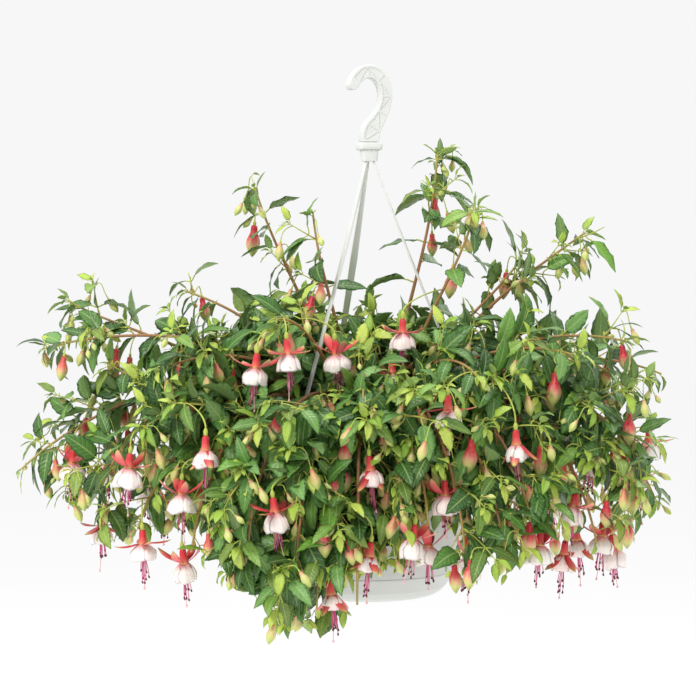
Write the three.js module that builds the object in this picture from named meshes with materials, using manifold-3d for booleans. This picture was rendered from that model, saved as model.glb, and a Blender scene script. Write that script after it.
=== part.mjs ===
// A fuchsia in a hanging basket: a white plastic pot with a clip-on drip saucer, held by a
// three-strap hanger that ends in a hook, and a trailing fuchsia with drooping flowers.
//
// Millimetres, +Z up. The origin is the point inside the hook's arch that rests on whatever the
// basket hangs from. The pot's axis is the Z axis, and -Y is the front.
import * as THREE from 'three';
import { mergeVertices } from 'three/addons/utils/BufferGeometryUtils.js';
import Module from 'manifold-3d';

const wasm = await Module();
wasm.setup();

// ---------------------------------------------------------------- driving dimensions
const GAP = 0.3; // clearance between neighbouring pieces
const ROUND_SEGMENTS = 24; // facets round the pot, the saucer and the root ball

const RIM_Z = -408; // top of the pot's rim, below the hook's bearing point
const RIM_RADIUS = 135; // a 27 cm pot
const POT_HEIGHT = 168; // rim to the foot of the saucer
const BASE_Z = RIM_Z - POT_HEIGHT;
const WALL = 2; // pot and saucer wall
const LIP_HEIGHT = 9; // rolled rim
const LIP_OVERHANG = 4;
const SHOULDER_RADIUS = 99; // pot wall just above the saucer
const SAUCER_HEIGHT = 28;
const SAUCER_RADIUS = 97;
const FOOT_RADIUS = 72; // flat underside of the saucer
const SOIL_BELOW_RIM = 12;
const SOIL_DOME = 6;
const SOIL_Z = RIM_Z - SOIL_BELOW_RIM;

const HOOK_DEPTH = 16; // thickness of the hook across its plane
const HOOK_TURN = THREE.MathUtils.degToRad(18); // the hook's plane is turned about the axis
const HOOK_BORDER = 2.4; // raised edge round the sunk panels
const RIB = 2.2; // rib left between two panels
const HOOK_PANEL_DEPTH = 0.7;
const HOOK_STATIONS = 16;
const PANEL_STATIONS = 3; // stations along one sunk panel
const COLLAR_TOP = -71;
const COLLAR_HEIGHT = 9;
const COLLAR_SIZE = [27, 20];
const NECK_SIZE = [17, 14];
const NECK_BOTTOM = -92;

const STRAP_AZIMUTHS = { right: -9, back: 111, front: -129 }; // degrees from +X
const STRAP_TWISTS = { right: 0, back: 0, front: 30 }; // degrees, at the middle of the strap
const STRAP_TOP_RADIUS = 5.2;
const STRAP_STEPS = 9;
const CLIP_WIDTH = 12; // along the rim
const CLIP_THICKNESS = 2.4;
const CLIP_DROP = 15;

const ROOT_RINGS = [84, 56, 30]; // where the stems leave the compost
const STEM_RADIUS = 2.9; // at the root
const STEM_TIP_RADIUS = 1.1;
const STEM_STEPS = 6;
const STEM_SIDES = 5;
const TWIG_RADIUS = 1.1;
const LEAF_LENGTH = 50;
const LEAF_WIDTH = 23;
const LEAF_THICKNESS = 2;

const UP = new THREE.Vector3(0, 0, 1);

// ---------------------------------------------------------------- materials
const plastic = new THREE.MeshStandardMaterial({ color: 0xeceeec, roughness: 0.4 });
const potPlastic = new THREE.MeshStandardMaterial({ color: 0xdfe3e2, roughness: 0.45 });
const compost = new THREE.MeshStandardMaterial({ color: 0x3a2c22, roughness: 0.95 });
const foliage = new THREE.MeshStandardMaterial({ color: 0x45743a, roughness: 0.6 });
const petal = new THREE.MeshStandardMaterial({ color: 0xe2667a, roughness: 0.55 });

// ---------------------------------------------------------------- solids
/** A closed three.js geometry as a solid that can be joined and cut. */
function solidFrom(geometry) {
  const bare = geometry.clone();
  bare.deleteAttribute('normal');
  bare.deleteAttribute('uv');
  const merged = mergeVertices(bare, 1e-3);
  const faces = [];
  for (let i = 0; i < merged.index.count; i += 3) {
    const [a, b, c] = [0, 1, 2].map((k) => merged.index.getX(i + k));
    if (a !== b && b !== c && c !== a) faces.push(a, b, c);
  }
  return new wasm.Manifold(new wasm.Mesh({
    numProp: 3,
    vertProperties: merged.attributes.position.array,
    triVerts: new Uint32Array(faces),
  }));
}

/** The solid back as a geometry, moved so that `origin` is at its zero. */
function geometryFrom(solid, origin = new THREE.Vector3()) {
  const mesh = solid.getMesh();
  const geometry = new THREE.BufferGeometry();
  geometry.setAttribute('position', new THREE.BufferAttribute(mesh.vertProperties, 3));
  geometry.setIndex(new THREE.BufferAttribute(mesh.triVerts, 1));
  return geometry.translate(-origin.x, -origin.y, -origin.z);
}

/** A closed skin over rings of points, all with the same number of points. */
function loft(rings) {
  const sides = rings[0].length;
  const points = rings.flat();
  const faces = [];
  for (let ring = 0; ring < rings.length - 1; ring += 1) {
    for (let side = 0; side < sides; side += 1) {
      const a = ring * sides + side;
      const b = ring * sides + ((side + 1) % sides);
      faces.push(a, b, b + sides, a, b + sides, a + sides);
    }
  }
  const last = (rings.length - 1) * sides;
  for (let side = 1; side < sides - 1; side += 1) {
    faces.push(0, side + 1, side, last, last + side, last + side + 1);
  }
  const geometry = new THREE.BufferGeometry().setFromPoints(points);
  geometry.setIndex(faces);
  return geometry;
}

/** A tapered round stem along a curve, in straight steps. */
function taperedTube({ curve, startRadius, endRadius, steps, sides }) {
  const frames = curve.computeFrenetFrames(steps, false);
  const rings = [];
  for (let step = 0; step <= steps; step += 1) {
    const centre = curve.getPointAt(step / steps);
    const radius = THREE.MathUtils.lerp(startRadius, endRadius, step / steps);
    const ring = [];
    for (let side = 0; side < sides; side += 1) {
      const angle = (2 * Math.PI * side) / sides;
      ring.push(centre.clone()
        .addScaledVector(frames.normals[step], radius * Math.cos(angle))
        .addScaledVector(frames.binormals[step], radius * Math.sin(angle)));
    }
    rings.push(ring);
  }
  return loft(rings);
}

/** A pointed blade: its outline points are joined to a raised middle on both faces. */
function blade(base, along, across, length, width, thickness, shape) {
  const normal = new THREE.Vector3().crossVectors(along, across).normalize();
  const at = (u, v, w) => base.clone()
    .addScaledVector(along, u * length)
    .addScaledVector(across, v * width)
    .addScaledVector(normal, w * thickness);
  const outline = [at(0, 0, 0)];
  shape.forEach(([u, v]) => outline.push(at(u, v, 0)));
  outline.push(at(1, 0, 0));
  shape.slice().reverse().forEach(([u, v]) => outline.push(at(u, -v, 0)));
  const top = at(0.45, 0, 0.5);
  const under = at(0.45, 0, -0.5);
  const count = outline.length;
  const faces = [];
  for (let i = 0; i < count; i += 1) {
    const next = (i + 1) % count;
    faces.push(i, count, next, i, next, count + 1);
  }
  const geometry = new THREE.BufferGeometry().setFromPoints([...outline, top, under]);
  geometry.setIndex(faces);
  return geometry;
}

/** Joins solids into one. */
const joined = (solids) => solids.reduce((whole, next) => whole.add(next));

// ---------------------------------------------------------------- space already taken
const taken = [];

function boxOf(solid) {
  const { min, max } = solid.boundingBox();
  return new THREE.Box3(new THREE.Vector3(...min), new THREE.Vector3(...max));
}

function occupy(solid, owner) {
  taken.push({ solid, owner, box: boxOf(solid) });
}

/** The owner of a placed solid that this one would enter, or null. */
function clash(solid, owner) {
  const box = boxOf(solid).expandByScalar(GAP);
  for (const other of taken) {
    if (other.owner !== owner && other.box.intersectsBox(box)
      && !other.solid.intersect(solid).isEmpty()) return other.owner;
  }
  return null;
}

// ---------------------------------------------------------------- the assembly
const basket = new THREE.Group();

/** A mesh at a point of its group. */
function addMesh(parent, name, geometry, material, position = new THREE.Vector3()) {
  const mesh = new THREE.Mesh(geometry, material);
  mesh.name = name;
  mesh.position.copy(position);
  parent.add(mesh);
  return mesh;
}

/** A hard piece, whose space the plant then keeps out of. */
function addHardPiece(parent, name, geometry, material) {
  const mesh = addMesh(parent, name, geometry, material);
  mesh.updateWorldMatrix(true, false);
  occupy(solidFrom(geometry.clone().applyMatrix4(mesh.matrixWorld)), name);
}

const profile = (points) => points.map(([radius, z]) => new THREE.Vector2(radius, z));

/** A body of revolution about Z from [radius, z] points, bottom first. */
function turned(points, segments) {
  return new THREE.LatheGeometry(profile(points), segments).rotateX(Math.PI / 2);
}

// ---------------------------------------------------------------- pot, saucer, root ball
function makePot() {
  const shoulder = BASE_Z + SAUCER_HEIGHT;
  const seat = BASE_Z + WALL + GAP;
  const inside = RIM_RADIUS - LIP_OVERHANG - WALL;

  addHardPiece(basket, 'drip_saucer', turned([
    [0, BASE_Z],
    [FOOT_RADIUS, BASE_Z],
    [FOOT_RADIUS + 8, BASE_Z + 4],
    [SAUCER_RADIUS - 5, BASE_Z + 20],
    [SAUCER_RADIUS, shoulder],
    [SAUCER_RADIUS - WALL, shoulder],
    [SAUCER_RADIUS - 5 - WALL, BASE_Z + 20.5],
    [FOOT_RADIUS + 6, BASE_Z + 5.5],
    [FOOT_RADIUS - 1, BASE_Z + WALL],
    [0, BASE_Z + WALL],
  ], ROUND_SEGMENTS), potPlastic);

  addHardPiece(basket, 'pot', turned([
    [0, seat],
    [FOOT_RADIUS - 2, seat],
    [FOOT_RADIUS + 5, BASE_Z + 6],
    [SAUCER_RADIUS - 7.6, BASE_Z + 20.8],
    [SAUCER_RADIUS - 2.6, shoulder],
    [SAUCER_RADIUS - 2.6, shoulder + GAP],
    [SHOULDER_RADIUS, shoulder + 1.5],
    [RIM_RADIUS - LIP_OVERHANG, RIM_Z - LIP_HEIGHT],
    [RIM_RADIUS, RIM_Z - LIP_HEIGHT],
    [RIM_RADIUS, RIM_Z],
    [inside, RIM_Z],
    [SHOULDER_RADIUS - WALL, shoulder + 3],
    [SAUCER_RADIUS - 9.6, BASE_Z + 21.5],
    [FOOT_RADIUS + 3, BASE_Z + 8],
    [FOOT_RADIUS - 4, seat + WALL],
    [0, seat + WALL],
  ], ROUND_SEGMENTS), potPlastic);

  const slope = (inside - SHOULDER_RADIUS + WALL) / (RIM_Z - shoulder - 3);
  const fit = 2 * GAP;
  addHardPiece(basket, 'root_ball', turned([
    [0, seat + WALL + fit],
    [FOOT_RADIUS - 5, seat + WALL + fit],
    [FOOT_RADIUS + 2, BASE_Z + 9],
    [SAUCER_RADIUS - 10.6, BASE_Z + 22.5],
    [SHOULDER_RADIUS - WALL - fit, shoulder + 4],
    [inside - slope * SOIL_BELOW_RIM - fit, SOIL_Z],
    [ROOT_RINGS[1], SOIL_Z + SOIL_DOME * 0.7],
    [0, SOIL_Z + SOIL_DOME],
  ], ROUND_SEGMENTS), compost);
}

// ---------------------------------------------------------------- hanger
// Hook centre line in its own plane: across, height, half width.
const HOOK_LINE = [
  [0, COLLAR_TOP + GAP, 9.2],
  [0, -64, 10.4],
  [2.2, -56, 9.8],
  [7.5, -48, 8.2],
  [13, -38.5, 7],
  [17, -28, 6.6],
  [18.4, -17.5, 6.6],
  [15.5, -5, 6.8],
  [8.5, 4, 7],
  [0, 7.4, 7.4],
  [-9, 5.5, 7.2],
  [-16.5, -1.5, 6.4],
];
const HOOK_TIP = [-20, -7.8, 5.7];

function hookStations(count) {
  const centre = new THREE.CatmullRomCurve3(
    [...HOOK_LINE, HOOK_TIP].map(([across, z]) => new THREE.Vector3(across, z, 0)),
  );
  const widths = new THREE.CatmullRomCurve3(
    [...HOOK_LINE, HOOK_TIP].map(([, , half]) => new THREE.Vector3(half, 0, 0)),
  );
  const stations = [];
  for (let i = 0; i <= count; i += 1) {
    const point = centre.getPoint(i / count);
    const tangent = centre.getTangent(i / count);
    if (i === 0) tangent.set(0, 1, 0);
    stations.push({
      point: new THREE.Vector2(point.x, point.y),
      left: new THREE.Vector2(-tangent.y, tangent.x),
      ahead: new THREE.Vector2(tangent.x, tangent.y),
      half: widths.getPoint(i / count).x,
    });
  }
  return stations;
}

const beside = ({ point, left }, distance) => point.clone().addScaledVector(left, distance);

function prism(outline, depth, from) {
  return new THREE.ExtrudeGeometry(new THREE.Shape(outline), { depth, bevelEnabled: false })
    .translate(0, 0, from);
}

function makeHook(parent) {
  const stations = hookStations(HOOK_STATIONS);
  const tip = stations.at(-1);
  const outline = stations.map((station) => beside(station, -station.half));
  for (const degrees of [-45, 0, 45]) {
    const angle = THREE.MathUtils.degToRad(degrees);
    outline.push(tip.point.clone()
      .addScaledVector(tip.left, tip.half * Math.sin(angle))
      .addScaledVector(tip.ahead, tip.half * Math.cos(angle)));
  }
  stations.slice().reverse().forEach((station) => outline.push(beside(station, station.half)));
  let hook = solidFrom(prism(outline, HOOK_DEPTH, -HOOK_DEPTH / 2));

  // Sunk panels on both faces, with cross ribs left between them.
  for (let i = 0; i + PANEL_STATIONS < stations.length; i += PANEL_STATIONS) {
    const cell = stations.slice(i, i + PANEL_STATIONS + 1);
    cell[0] = { ...cell[0], point: cell[0].point.clone().addScaledVector(cell[0].ahead, RIB) };
    const sides = [-1, 1].map((side) => cell.map(
      (station) => beside(station, side * (station.half - HOOK_BORDER)),
    ));
    const panel = [...sides[0], ...sides[1].reverse()];
    for (const from of [-HOOK_DEPTH, HOOK_DEPTH / 2 - HOOK_PANEL_DEPTH]) {
      hook = hook.subtract(solidFrom(prism(panel, HOOK_DEPTH / 2 + HOOK_PANEL_DEPTH, from)));
    }
  }
  const geometry = geometryFrom(hook).rotateX(Math.PI / 2);
  addHardPiece(parent, 'hanger_hook', geometry, plastic);
}

/** A four-cornered ring, `size` across and deep, at height z. */
function rectangle([across, deep], z, chamfer) {
  const [x, y] = [across / 2, deep / 2];
  const corners = [
    [x, y - chamfer], [x - chamfer, y], [chamfer - x, y], [-x, y - chamfer],
    [-x, chamfer - y], [chamfer - x, -y], [x - chamfer, -y], [x, chamfer - y],
  ];
  return corners.map(([cx, cy]) => new THREE.Vector3(cx, cy, z));
}

function makeCollar(parent) {
  const [width, deep] = COLLAR_SIZE;
  const bottom = COLLAR_TOP - COLLAR_HEIGHT;
  const rings = [
    rectangle(NECK_SIZE, NECK_BOTTOM, 2),
    rectangle([NECK_SIZE[0] + 2, NECK_SIZE[1] + 1], bottom, 2),
    rectangle([width - 3, deep - 3], bottom + 0.01, 3),
    rectangle([width, deep], bottom + 2, 3),
    rectangle([width, deep], COLLAR_TOP - 2, 3),
    rectangle([width - 4, deep - 4], COLLAR_TOP, 3),
  ];
  addHardPiece(parent, 'hanger_collar', loft(rings), plastic);
}

// Along a strap from the neck (0) to the rim (1): width and thickness.
const STRAP_SECTIONS = [
  [0, 4.4, 2.6],
  [0.15, 5.5, 2.4],
  [0.35, 8.6, 2.2],
  [0.55, 7, 2.2],
  [0.8, 5.4, 2.4],
  [1, 6, CLIP_THICKNESS],
];

function strapSection(share) {
  const next = Math.max(1, STRAP_SECTIONS.findIndex(([at]) => at >= share));
  const [from, to] = [STRAP_SECTIONS[next - 1], STRAP_SECTIONS[next]];
  const blend = (share - from[0]) / (to[0] - from[0]);
  return [1, 2].map((k) => THREE.MathUtils.lerp(from[k], to[k], blend));
}

/** One strap in the plane of its own azimuth: x is outwards, y runs along the rim. */
function makeStrap(side, azimuth) {
  const rimTop = RIM_Z + GAP;
  const path = new THREE.CubicBezierCurve3(
    new THREE.Vector3(STRAP_TOP_RADIUS, 0, NECK_BOTTOM - GAP),
    new THREE.Vector3(STRAP_TOP_RADIUS + 30, 0, NECK_BOTTOM - 84),
    new THREE.Vector3(RIM_RADIUS - 40, 0, rimTop + 90),
    new THREE.Vector3(RIM_RADIUS - 1, 0, rimTop + CLIP_THICKNESS / 2),
  );
  const rings = [];
  for (let step = 0; step <= STRAP_STEPS; step += 1) {
    const share = step / STRAP_STEPS;
    const centre = path.getPointAt(share);
    const tangent = path.getTangentAt(share);
    const [width, thickness] = strapSection(share);
    const twist = THREE.MathUtils.degToRad(STRAP_TWISTS[side]) * Math.sin(Math.PI * share);
    const flat = step === 0 ? new THREE.Vector3(1, 0, 0)
      : new THREE.Vector3(-tangent.z, 0, tangent.x).applyAxisAngle(tangent, twist);
    const alongRim = new THREE.Vector3(0, 1, 0).applyAxisAngle(tangent, twist);
    const corner = (v, w) => centre.clone()
      .addScaledVector(alongRim, v * width / 2)
      .addScaledVector(flat, w * thickness / 2);
    rings.push([corner(-1, -1), corner(1, -1), corner(1, 1), corner(-1, 1)]);
  }
  const ribbon = solidFrom(loft(rings));

  const outer = RIM_RADIUS + GAP + CLIP_THICKNESS;
  const under = RIM_Z - LIP_HEIGHT - GAP;
  const clipOutline = [
    [RIM_RADIUS - 8, rimTop], [RIM_RADIUS + GAP, rimTop], [RIM_RADIUS + GAP, under],
    [RIM_RADIUS - 2.5, under], [RIM_RADIUS + GAP, RIM_Z - CLIP_DROP],
    [outer, RIM_Z - CLIP_DROP], [outer, rimTop + CLIP_THICKNESS],
    [RIM_RADIUS - 8, rimTop + CLIP_THICKNESS],
  ].map(([radius, z]) => new THREE.Vector2(radius, z));
  const clip = solidFrom(prism(clipOutline, CLIP_WIDTH, -CLIP_WIDTH / 2).rotateX(Math.PI / 2));

  const strapGroup = new THREE.Group();
  strapGroup.rotation.z = THREE.MathUtils.degToRad(azimuth);
  basket.add(strapGroup);
  addHardPiece(strapGroup, `hanger_strap_${side}`, geometryFrom(ribbon.add(clip)), plastic);
}

function makeHanger() {
  const top = new THREE.Group();
  top.rotation.z = HOOK_TURN;
  basket.add(top);
  makeHook(top);
  makeCollar(top);
  for (const [side, azimuth] of Object.entries(STRAP_AZIMUTHS)) {
    makeStrap(side, azimuth);
  }
}

// ---------------------------------------------------------------- shoots
// Each shoot leaves the compost near `root` (degrees round the pot), climbs `lift`, and bends
// over to its tip. `lean` is how far out its last bend is, as a share of the way, and `hang` is
// that bend's height above the tip: below zero for a shoot that still climbs at its end.
const SHOOTS = [
  // name, root, ring, tip x, y, z, lift, lean, hang
  ['right_low', -16, 0, [312, -75, -462], 120, 0.8, 120],
  ['right_outer', 2, 2, [328, -2, -330], 100, 0.7, 40],
  ['right_upper', -28, 1, [280, -60, -290], 110, 0.65, 20],
  ['right_upright', 14, 1, [245, 35, -172], 120, 0.6, -55],
  ['right_back', 26, 0, [290, 120, -345], 110, 0.75, 60],
  ['right_front_low', -35, 0, [240, -150, -500], 130, 0.85, 150],
  ['right_front_outer', -40, 2, [292, -140, -425], 150, 0.8, 110],
  ['right_front_upper', -50, 1, [215, -145, -300], 100, 0.65, 20],
  ['front_right_low', -50, 0, [172, -205, -505], 120, 0.88, 150],
  ['front_right_hanging', -74, 2, [98, -225, -512], 140, 0.9, 160],
  ['front_right_upper', -62, 1, [112, -175, -322], 90, 0.65, 40],
  ['front_low', -86, 0, [32, -215, -470], 100, 0.88, 130],
  ['front_middle', -97, 2, [-8, -190, -350], 90, 0.7, 60],
  ['front_left_low', -106, 0, [-78, -222, -558], 130, 0.95, 190],
  ['front_left_upper', -116, 1, [-100, -168, -262], 90, 0.65, 10],
  ['front_left_hanging', -139, 0, [-190, -185, -530], 130, 0.9, 170],
  ['left_front_low', -150, 2, [-252, -150, -505], 160, 0.85, 150],
  ['left_front_upper', -156, 1, [-225, -130, -318], 110, 0.65, 30],
  ['left_front_outer', -163, 0, [-290, -110, -448], 130, 0.8, 120],
  ['left_low', -171, 1, [-384, -45, -432], 150, 0.75, 80],
  ['left_outer', -178, 2, [-360, -18, -300], 130, 0.7, 30],
  ['left_rising', 163, 0, [-345, 62, -250], 90, 0.75, -40],
  ['left_upper', 173, 1, [-206, 22, -238], 110, 0.6, -20],
  ['left_upright', 157, 2, [-128, 20, -122], 110, 0.72, -95],
  ['middle_left_upright', -122, 2, [-62, -28, -152], 120, 0.8, -90],
  ['middle_right_upright', 45, 2, [77, 16, -84], 130, 0.85, -130],
  ['middle_front_upright', -20, 2, [114, -52, -155], 110, 0.7, -85],
  ['middle_back_upright', 33, 1, [170, 58, -208], 110, 0.65, -60],
  ['back_right_low', 50, 0, [228, 195, -440], 120, 0.8, 120],
  ['back_right_upper', 66, 1, [95, 165, -285], 100, 0.65, 10],
  ['back_low', 80, 0, [92, 268, -448], 110, 0.8, 120],
  ['back_left_upper', 128, 1, [-140, 155, -275], 100, 0.65, 10],
  ['back_left_low', 103, 0, [-75, 275, -420], 110, 0.8, 110],
  ['back_left_outer', 140, 0, [-215, 222, -450], 120, 0.8, 120],
];

/** The centre line of a shoot's main stem. */
function stemCurve([, rootDegrees, ring, tip, lift, lean, hang]) {
  const angle = THREE.MathUtils.degToRad(rootDegrees);
  const radius = ROOT_RINGS[ring];
  const end = new THREE.Vector3(...tip);
  const root = new THREE.Vector3(
    radius * Math.cos(angle),
    radius * Math.sin(angle),
    SOIL_Z + SOIL_DOME + STEM_RADIUS + GAP,
  );
  const first = root.clone().lerp(end, 0.06).setZ(root.z + lift);
  const second = root.clone().lerp(end, lean).setZ(end.z + hang);
  return new THREE.CubicBezierCurve3(root, first, second, end);
}

/** A place on a stem's tube: its middle, its radius and the direction `roll` round it. */
function stationOn(stem, share, roll = 0) {
  const step = Math.min(Math.floor(share * stem.steps), stem.steps - 1);
  const from = stem.curve.getPointAt(step / stem.steps);
  const to = stem.curve.getPointAt((step + 1) / stem.steps);
  const tangent = to.clone().sub(from).normalize();
  const side = new THREE.Vector3().crossVectors(tangent, UP);
  if (side.length() < 0.2) side.set(1, 0, 0);
  side.addScaledVector(tangent, -side.dot(tangent)).normalize();
  const over = new THREE.Vector3().crossVectors(side, tangent);
  return {
    point: from.clone().lerp(to, share * stem.steps - step),
    tangent,
    outwards: side.multiplyScalar(Math.cos(roll)).addScaledVector(over, Math.sin(roll)),
    radius: THREE.MathUtils.lerp(stem.startRadius, stem.endRadius, share),
  };
}

const LEAF_SHAPE = [[0.42, 0.5]];

/** A leaf that starts inside the stem and points away at `roll` round it. */
function leafAt(stem, share, roll, size, extra = 0) {
  const { point, tangent, outwards, radius } = stationOn(stem, share, roll);
  const along = outwards.clone().multiplyScalar(0.85).addScaledVector(tangent, 0.45)
    .addScaledVector(UP, -0.3).normalize();
  const across = new THREE.Vector3().crossVectors(along, UP);
  if (across.length() < 0.15) across.copy(tangent);
  across.addScaledVector(along, -across.dot(along)).normalize();
  const base = point.addScaledVector(along, 0.3 * radius);
  return solidFrom(blade(
    base,
    along,
    across,
    size * LEAF_LENGTH + extra,
    size * LEAF_WIDTH + extra,
    LEAF_THICKNESS + extra,
    LEAF_SHAPE,
  ));
}

/** A side twig that leaves a stem at a share of its length. */
function twigOn(stem, share, roll, length, extra = 0) {
  const { point, tangent, outwards } = stationOn(stem, share, roll);
  const away = outwards.multiplyScalar(0.75).addScaledVector(tangent, 0.6).normalize();
  return {
    curve: new THREE.QuadraticBezierCurve3(
      point,
      point.clone().addScaledVector(away, length * 0.55),
      point.clone().addScaledVector(away, length).addScaledVector(UP, -0.22 * length),
    ),
    startRadius: TWIG_RADIUS + extra,
    endRadius: TWIG_RADIUS * 0.7 + extra,
    steps: 3,
    sides: 4,
  };
}

// Twigs: place along the stem, roll round it, length. Leaves: place, roll, size.
const TWIGS = [[0.52, 0.5, 95], [0.7, Math.PI - 0.5, 80]];
const STEM_LEAVES = [
  [0.42, 0.2, 1], [0.44, Math.PI - 0.2, 1],
  [0.66, 1.1, 0.95], [0.68, -1.1, 0.95],
  [0.85, 0.1, 0.85], [0.87, Math.PI - 0.1, 0.85],
  [0.985, 0.4, 0.7],
];
const TWIG_LEAVES = [[0.6, 0, 0.85], [0.96, Math.PI - 0.5, 0.8]];

const shoots = SHOOTS.map((row) => ({
  name: `shoot_${row[0]}`,
  stem: {
    curve: stemCurve(row),
    startRadius: STEM_RADIUS,
    endRadius: STEM_TIP_RADIUS,
    steps: STEM_STEPS,
    sides: STEM_SIDES,
  },
}));

function growStems() {
  for (const shoot of shoots) {
    shoot.solid = solidFrom(taperedTube(shoot.stem));
    const other = clash(shoot.solid, shoot.name);
    if (other) throw new Error(`${shoot.name} runs into ${other}`);
    occupy(shoot.solid, shoot.name);
  }
}

/** Adds a twig or a leaf to a shoot where there is room for it. */
function graft(shoot, solid, envelope) {
  if (clash(envelope, shoot.name)) return false;
  shoot.solid = shoot.solid.add(solid);
  occupy(solid, shoot.name);
  return true;
}

function growLeaves(shoot, stem, leaves) {
  for (const [share, roll, size] of leaves) {
    graft(shoot, leafAt(stem, share, roll, size), leafAt(stem, share, roll, size, 2 * GAP));
  }
}

function growShoots() {
  for (const shoot of shoots) {
    shoot.twigs = [];
    for (const [share, roll, length] of TWIGS) {
      const twig = twigOn(shoot.stem, share, roll, length);
      const envelope = twigOn(shoot.stem, share, roll, length, GAP);
      const fits = graft(shoot, solidFrom(taperedTube(twig)), solidFrom(taperedTube(envelope)));
      if (fits) shoot.twigs.push(twig);
    }
  }
  for (const shoot of shoots) {
    growLeaves(shoot, shoot.stem, STEM_LEAVES);
    shoot.twigs.forEach((twig) => growLeaves(shoot, twig, TWIG_LEAVES));
  }
  for (const { name, solid, stem } of shoots) {
    const root = stem.curve.getPoint(0);
    addMesh(basket, name, geometryFrom(solid, root), foliage, root);
  }
}

// ---------------------------------------------------------------- flowers
// Where the neck of each open flower hangs; the stalk comes from the nearest stem above it.
const FLOWERS = [
  [-198, -170, -496],
  [-240, -168, -476],
  [-197, -180, -422],
  [-252, -162, -396],
  [-171, -195, -374],
  [-118, -170, -290],
  [-88, -175, -275],
  [35, -120, -256],
  [80, -194, -332],
  [150, -196, -368],
  [76, -200, -420],
  [1, -215, -482],
  [46, -228, -462],
  [216, -170, -436],
  [177, -190, -474],
  [240, -120, -389],
];
const FLOWER_PROFILE = [ // radius, height from the neck
  [0, 0], [2.6, -4], [4.7, -22], [12.5, -33], [14.5, -45], [0, -48],
];
const SEPAL = { inset: 3.2, length: 26, width: 11, thickness: 2, height: -21, rise: 0.1 };
const SEPAL_SHAPE = [[0.5, 0.5]];
const STALK_RADIUS = 0.9;
const STALK_TRIES = 60; // stem places tried for a flower's stalk
const STYLE_TOP = -40;
const STYLE_TIP = -74;

/** Places on the stems above a flower's neck, the nearest first. */
function stemPlacesNear(neck) {
  const places = [];
  for (const { stem } of shoots) {
    for (let share = 0.3; share <= 1; share += 0.02) {
      const { point, radius } = stationOn(stem, share);
      if (point.z > neck.z + 8) places.push({ point, radius, distance: point.distanceTo(neck) });
    }
  }
  return places.sort((one, other) => one.distance - other.distance);
}

const stalkAlong = (curve, steps) => ({
  curve,
  steps,
  startRadius: STALK_RADIUS,
  endRadius: STALK_RADIUS,
  sides: 3,
});

function flowerSolid(neck, turn) {
  const body = solidFrom(turned(FLOWER_PROFILE.slice().reverse(), 6)
    .translate(neck.x, neck.y, neck.z));
  const parts = [body];
  for (let quarter = 0; quarter < 4; quarter += 1) {
    const angle = turn + (quarter * Math.PI) / 2;
    const along = new THREE.Vector3(Math.cos(angle), Math.sin(angle), SEPAL.rise).normalize();
    const across = new THREE.Vector3(-Math.sin(angle), Math.cos(angle), 0);
    const base = neck.clone().addScaledVector(along, SEPAL.inset);
    base.z += SEPAL.height;
    parts.push(solidFrom(blade(
      base,
      along,
      across,
      SEPAL.length,
      SEPAL.width,
      SEPAL.thickness,
      SEPAL_SHAPE,
    )));
  }
  const style = new THREE.LineCurve3(
    neck.clone().add(new THREE.Vector3(0, 0, STYLE_TOP)),
    neck.clone().add(new THREE.Vector3(1, 0, STYLE_TIP)),
  );
  parts.push(solidFrom(taperedTube(stalkAlong(style, 1))));
  return joined(parts);
}

/** The stalk that leaves a stem on the flower's side and bends down to its neck. */
function stalkFrom({ point, radius }, neck) {
  const outwards = neck.clone().sub(point).setZ(0);
  if (outwards.length() < 3) outwards.set(neck.x, neck.y, 0);
  outwards.normalize();
  const start = point.clone().addScaledVector(outwards, radius + STALK_RADIUS + GAP);
  const bend = start.clone().lerp(neck, 0.5).addScaledVector(outwards, 6).setZ(start.z - 2);
  const end = neck.clone().setZ(neck.z - 1);
  return stalkAlong(new THREE.QuadraticBezierCurve3(start, bend, end), 4);
}

function makeFlowers() {
  FLOWERS.forEach((place, index) => {
    const name = `flower_${String(index + 1).padStart(2, '0')}`;
    const neck = new THREE.Vector3(...place);
    const bloom = flowerSolid(neck, index * 0.7);
    const solid = stemPlacesNear(neck).slice(0, STALK_TRIES)
      .map((stemPlace) => bloom.add(solidFrom(taperedTube(stalkFrom(stemPlace, neck)))))
      .find((hung) => !clash(hung, name));
    if (!solid) throw new Error(`${name} has no clear place: ${clash(bloom, name)}`);
    occupy(solid, name);
    addMesh(basket, name, geometryFrom(solid, neck), petal, neck);
  });
}

makePot();
makeHanger();
growStems();
makeFlowers();
growShoots();

export default basket;
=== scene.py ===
"""A fuchsia in a hanging basket: the looks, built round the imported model.

Shapes are worked out in millimetres in the model's own frame (the origin is the point inside the
hook's arch that the basket hangs by, +Z is up and -Y is the front) and become metres when a mesh
is made.
"""

import math
import random

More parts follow.
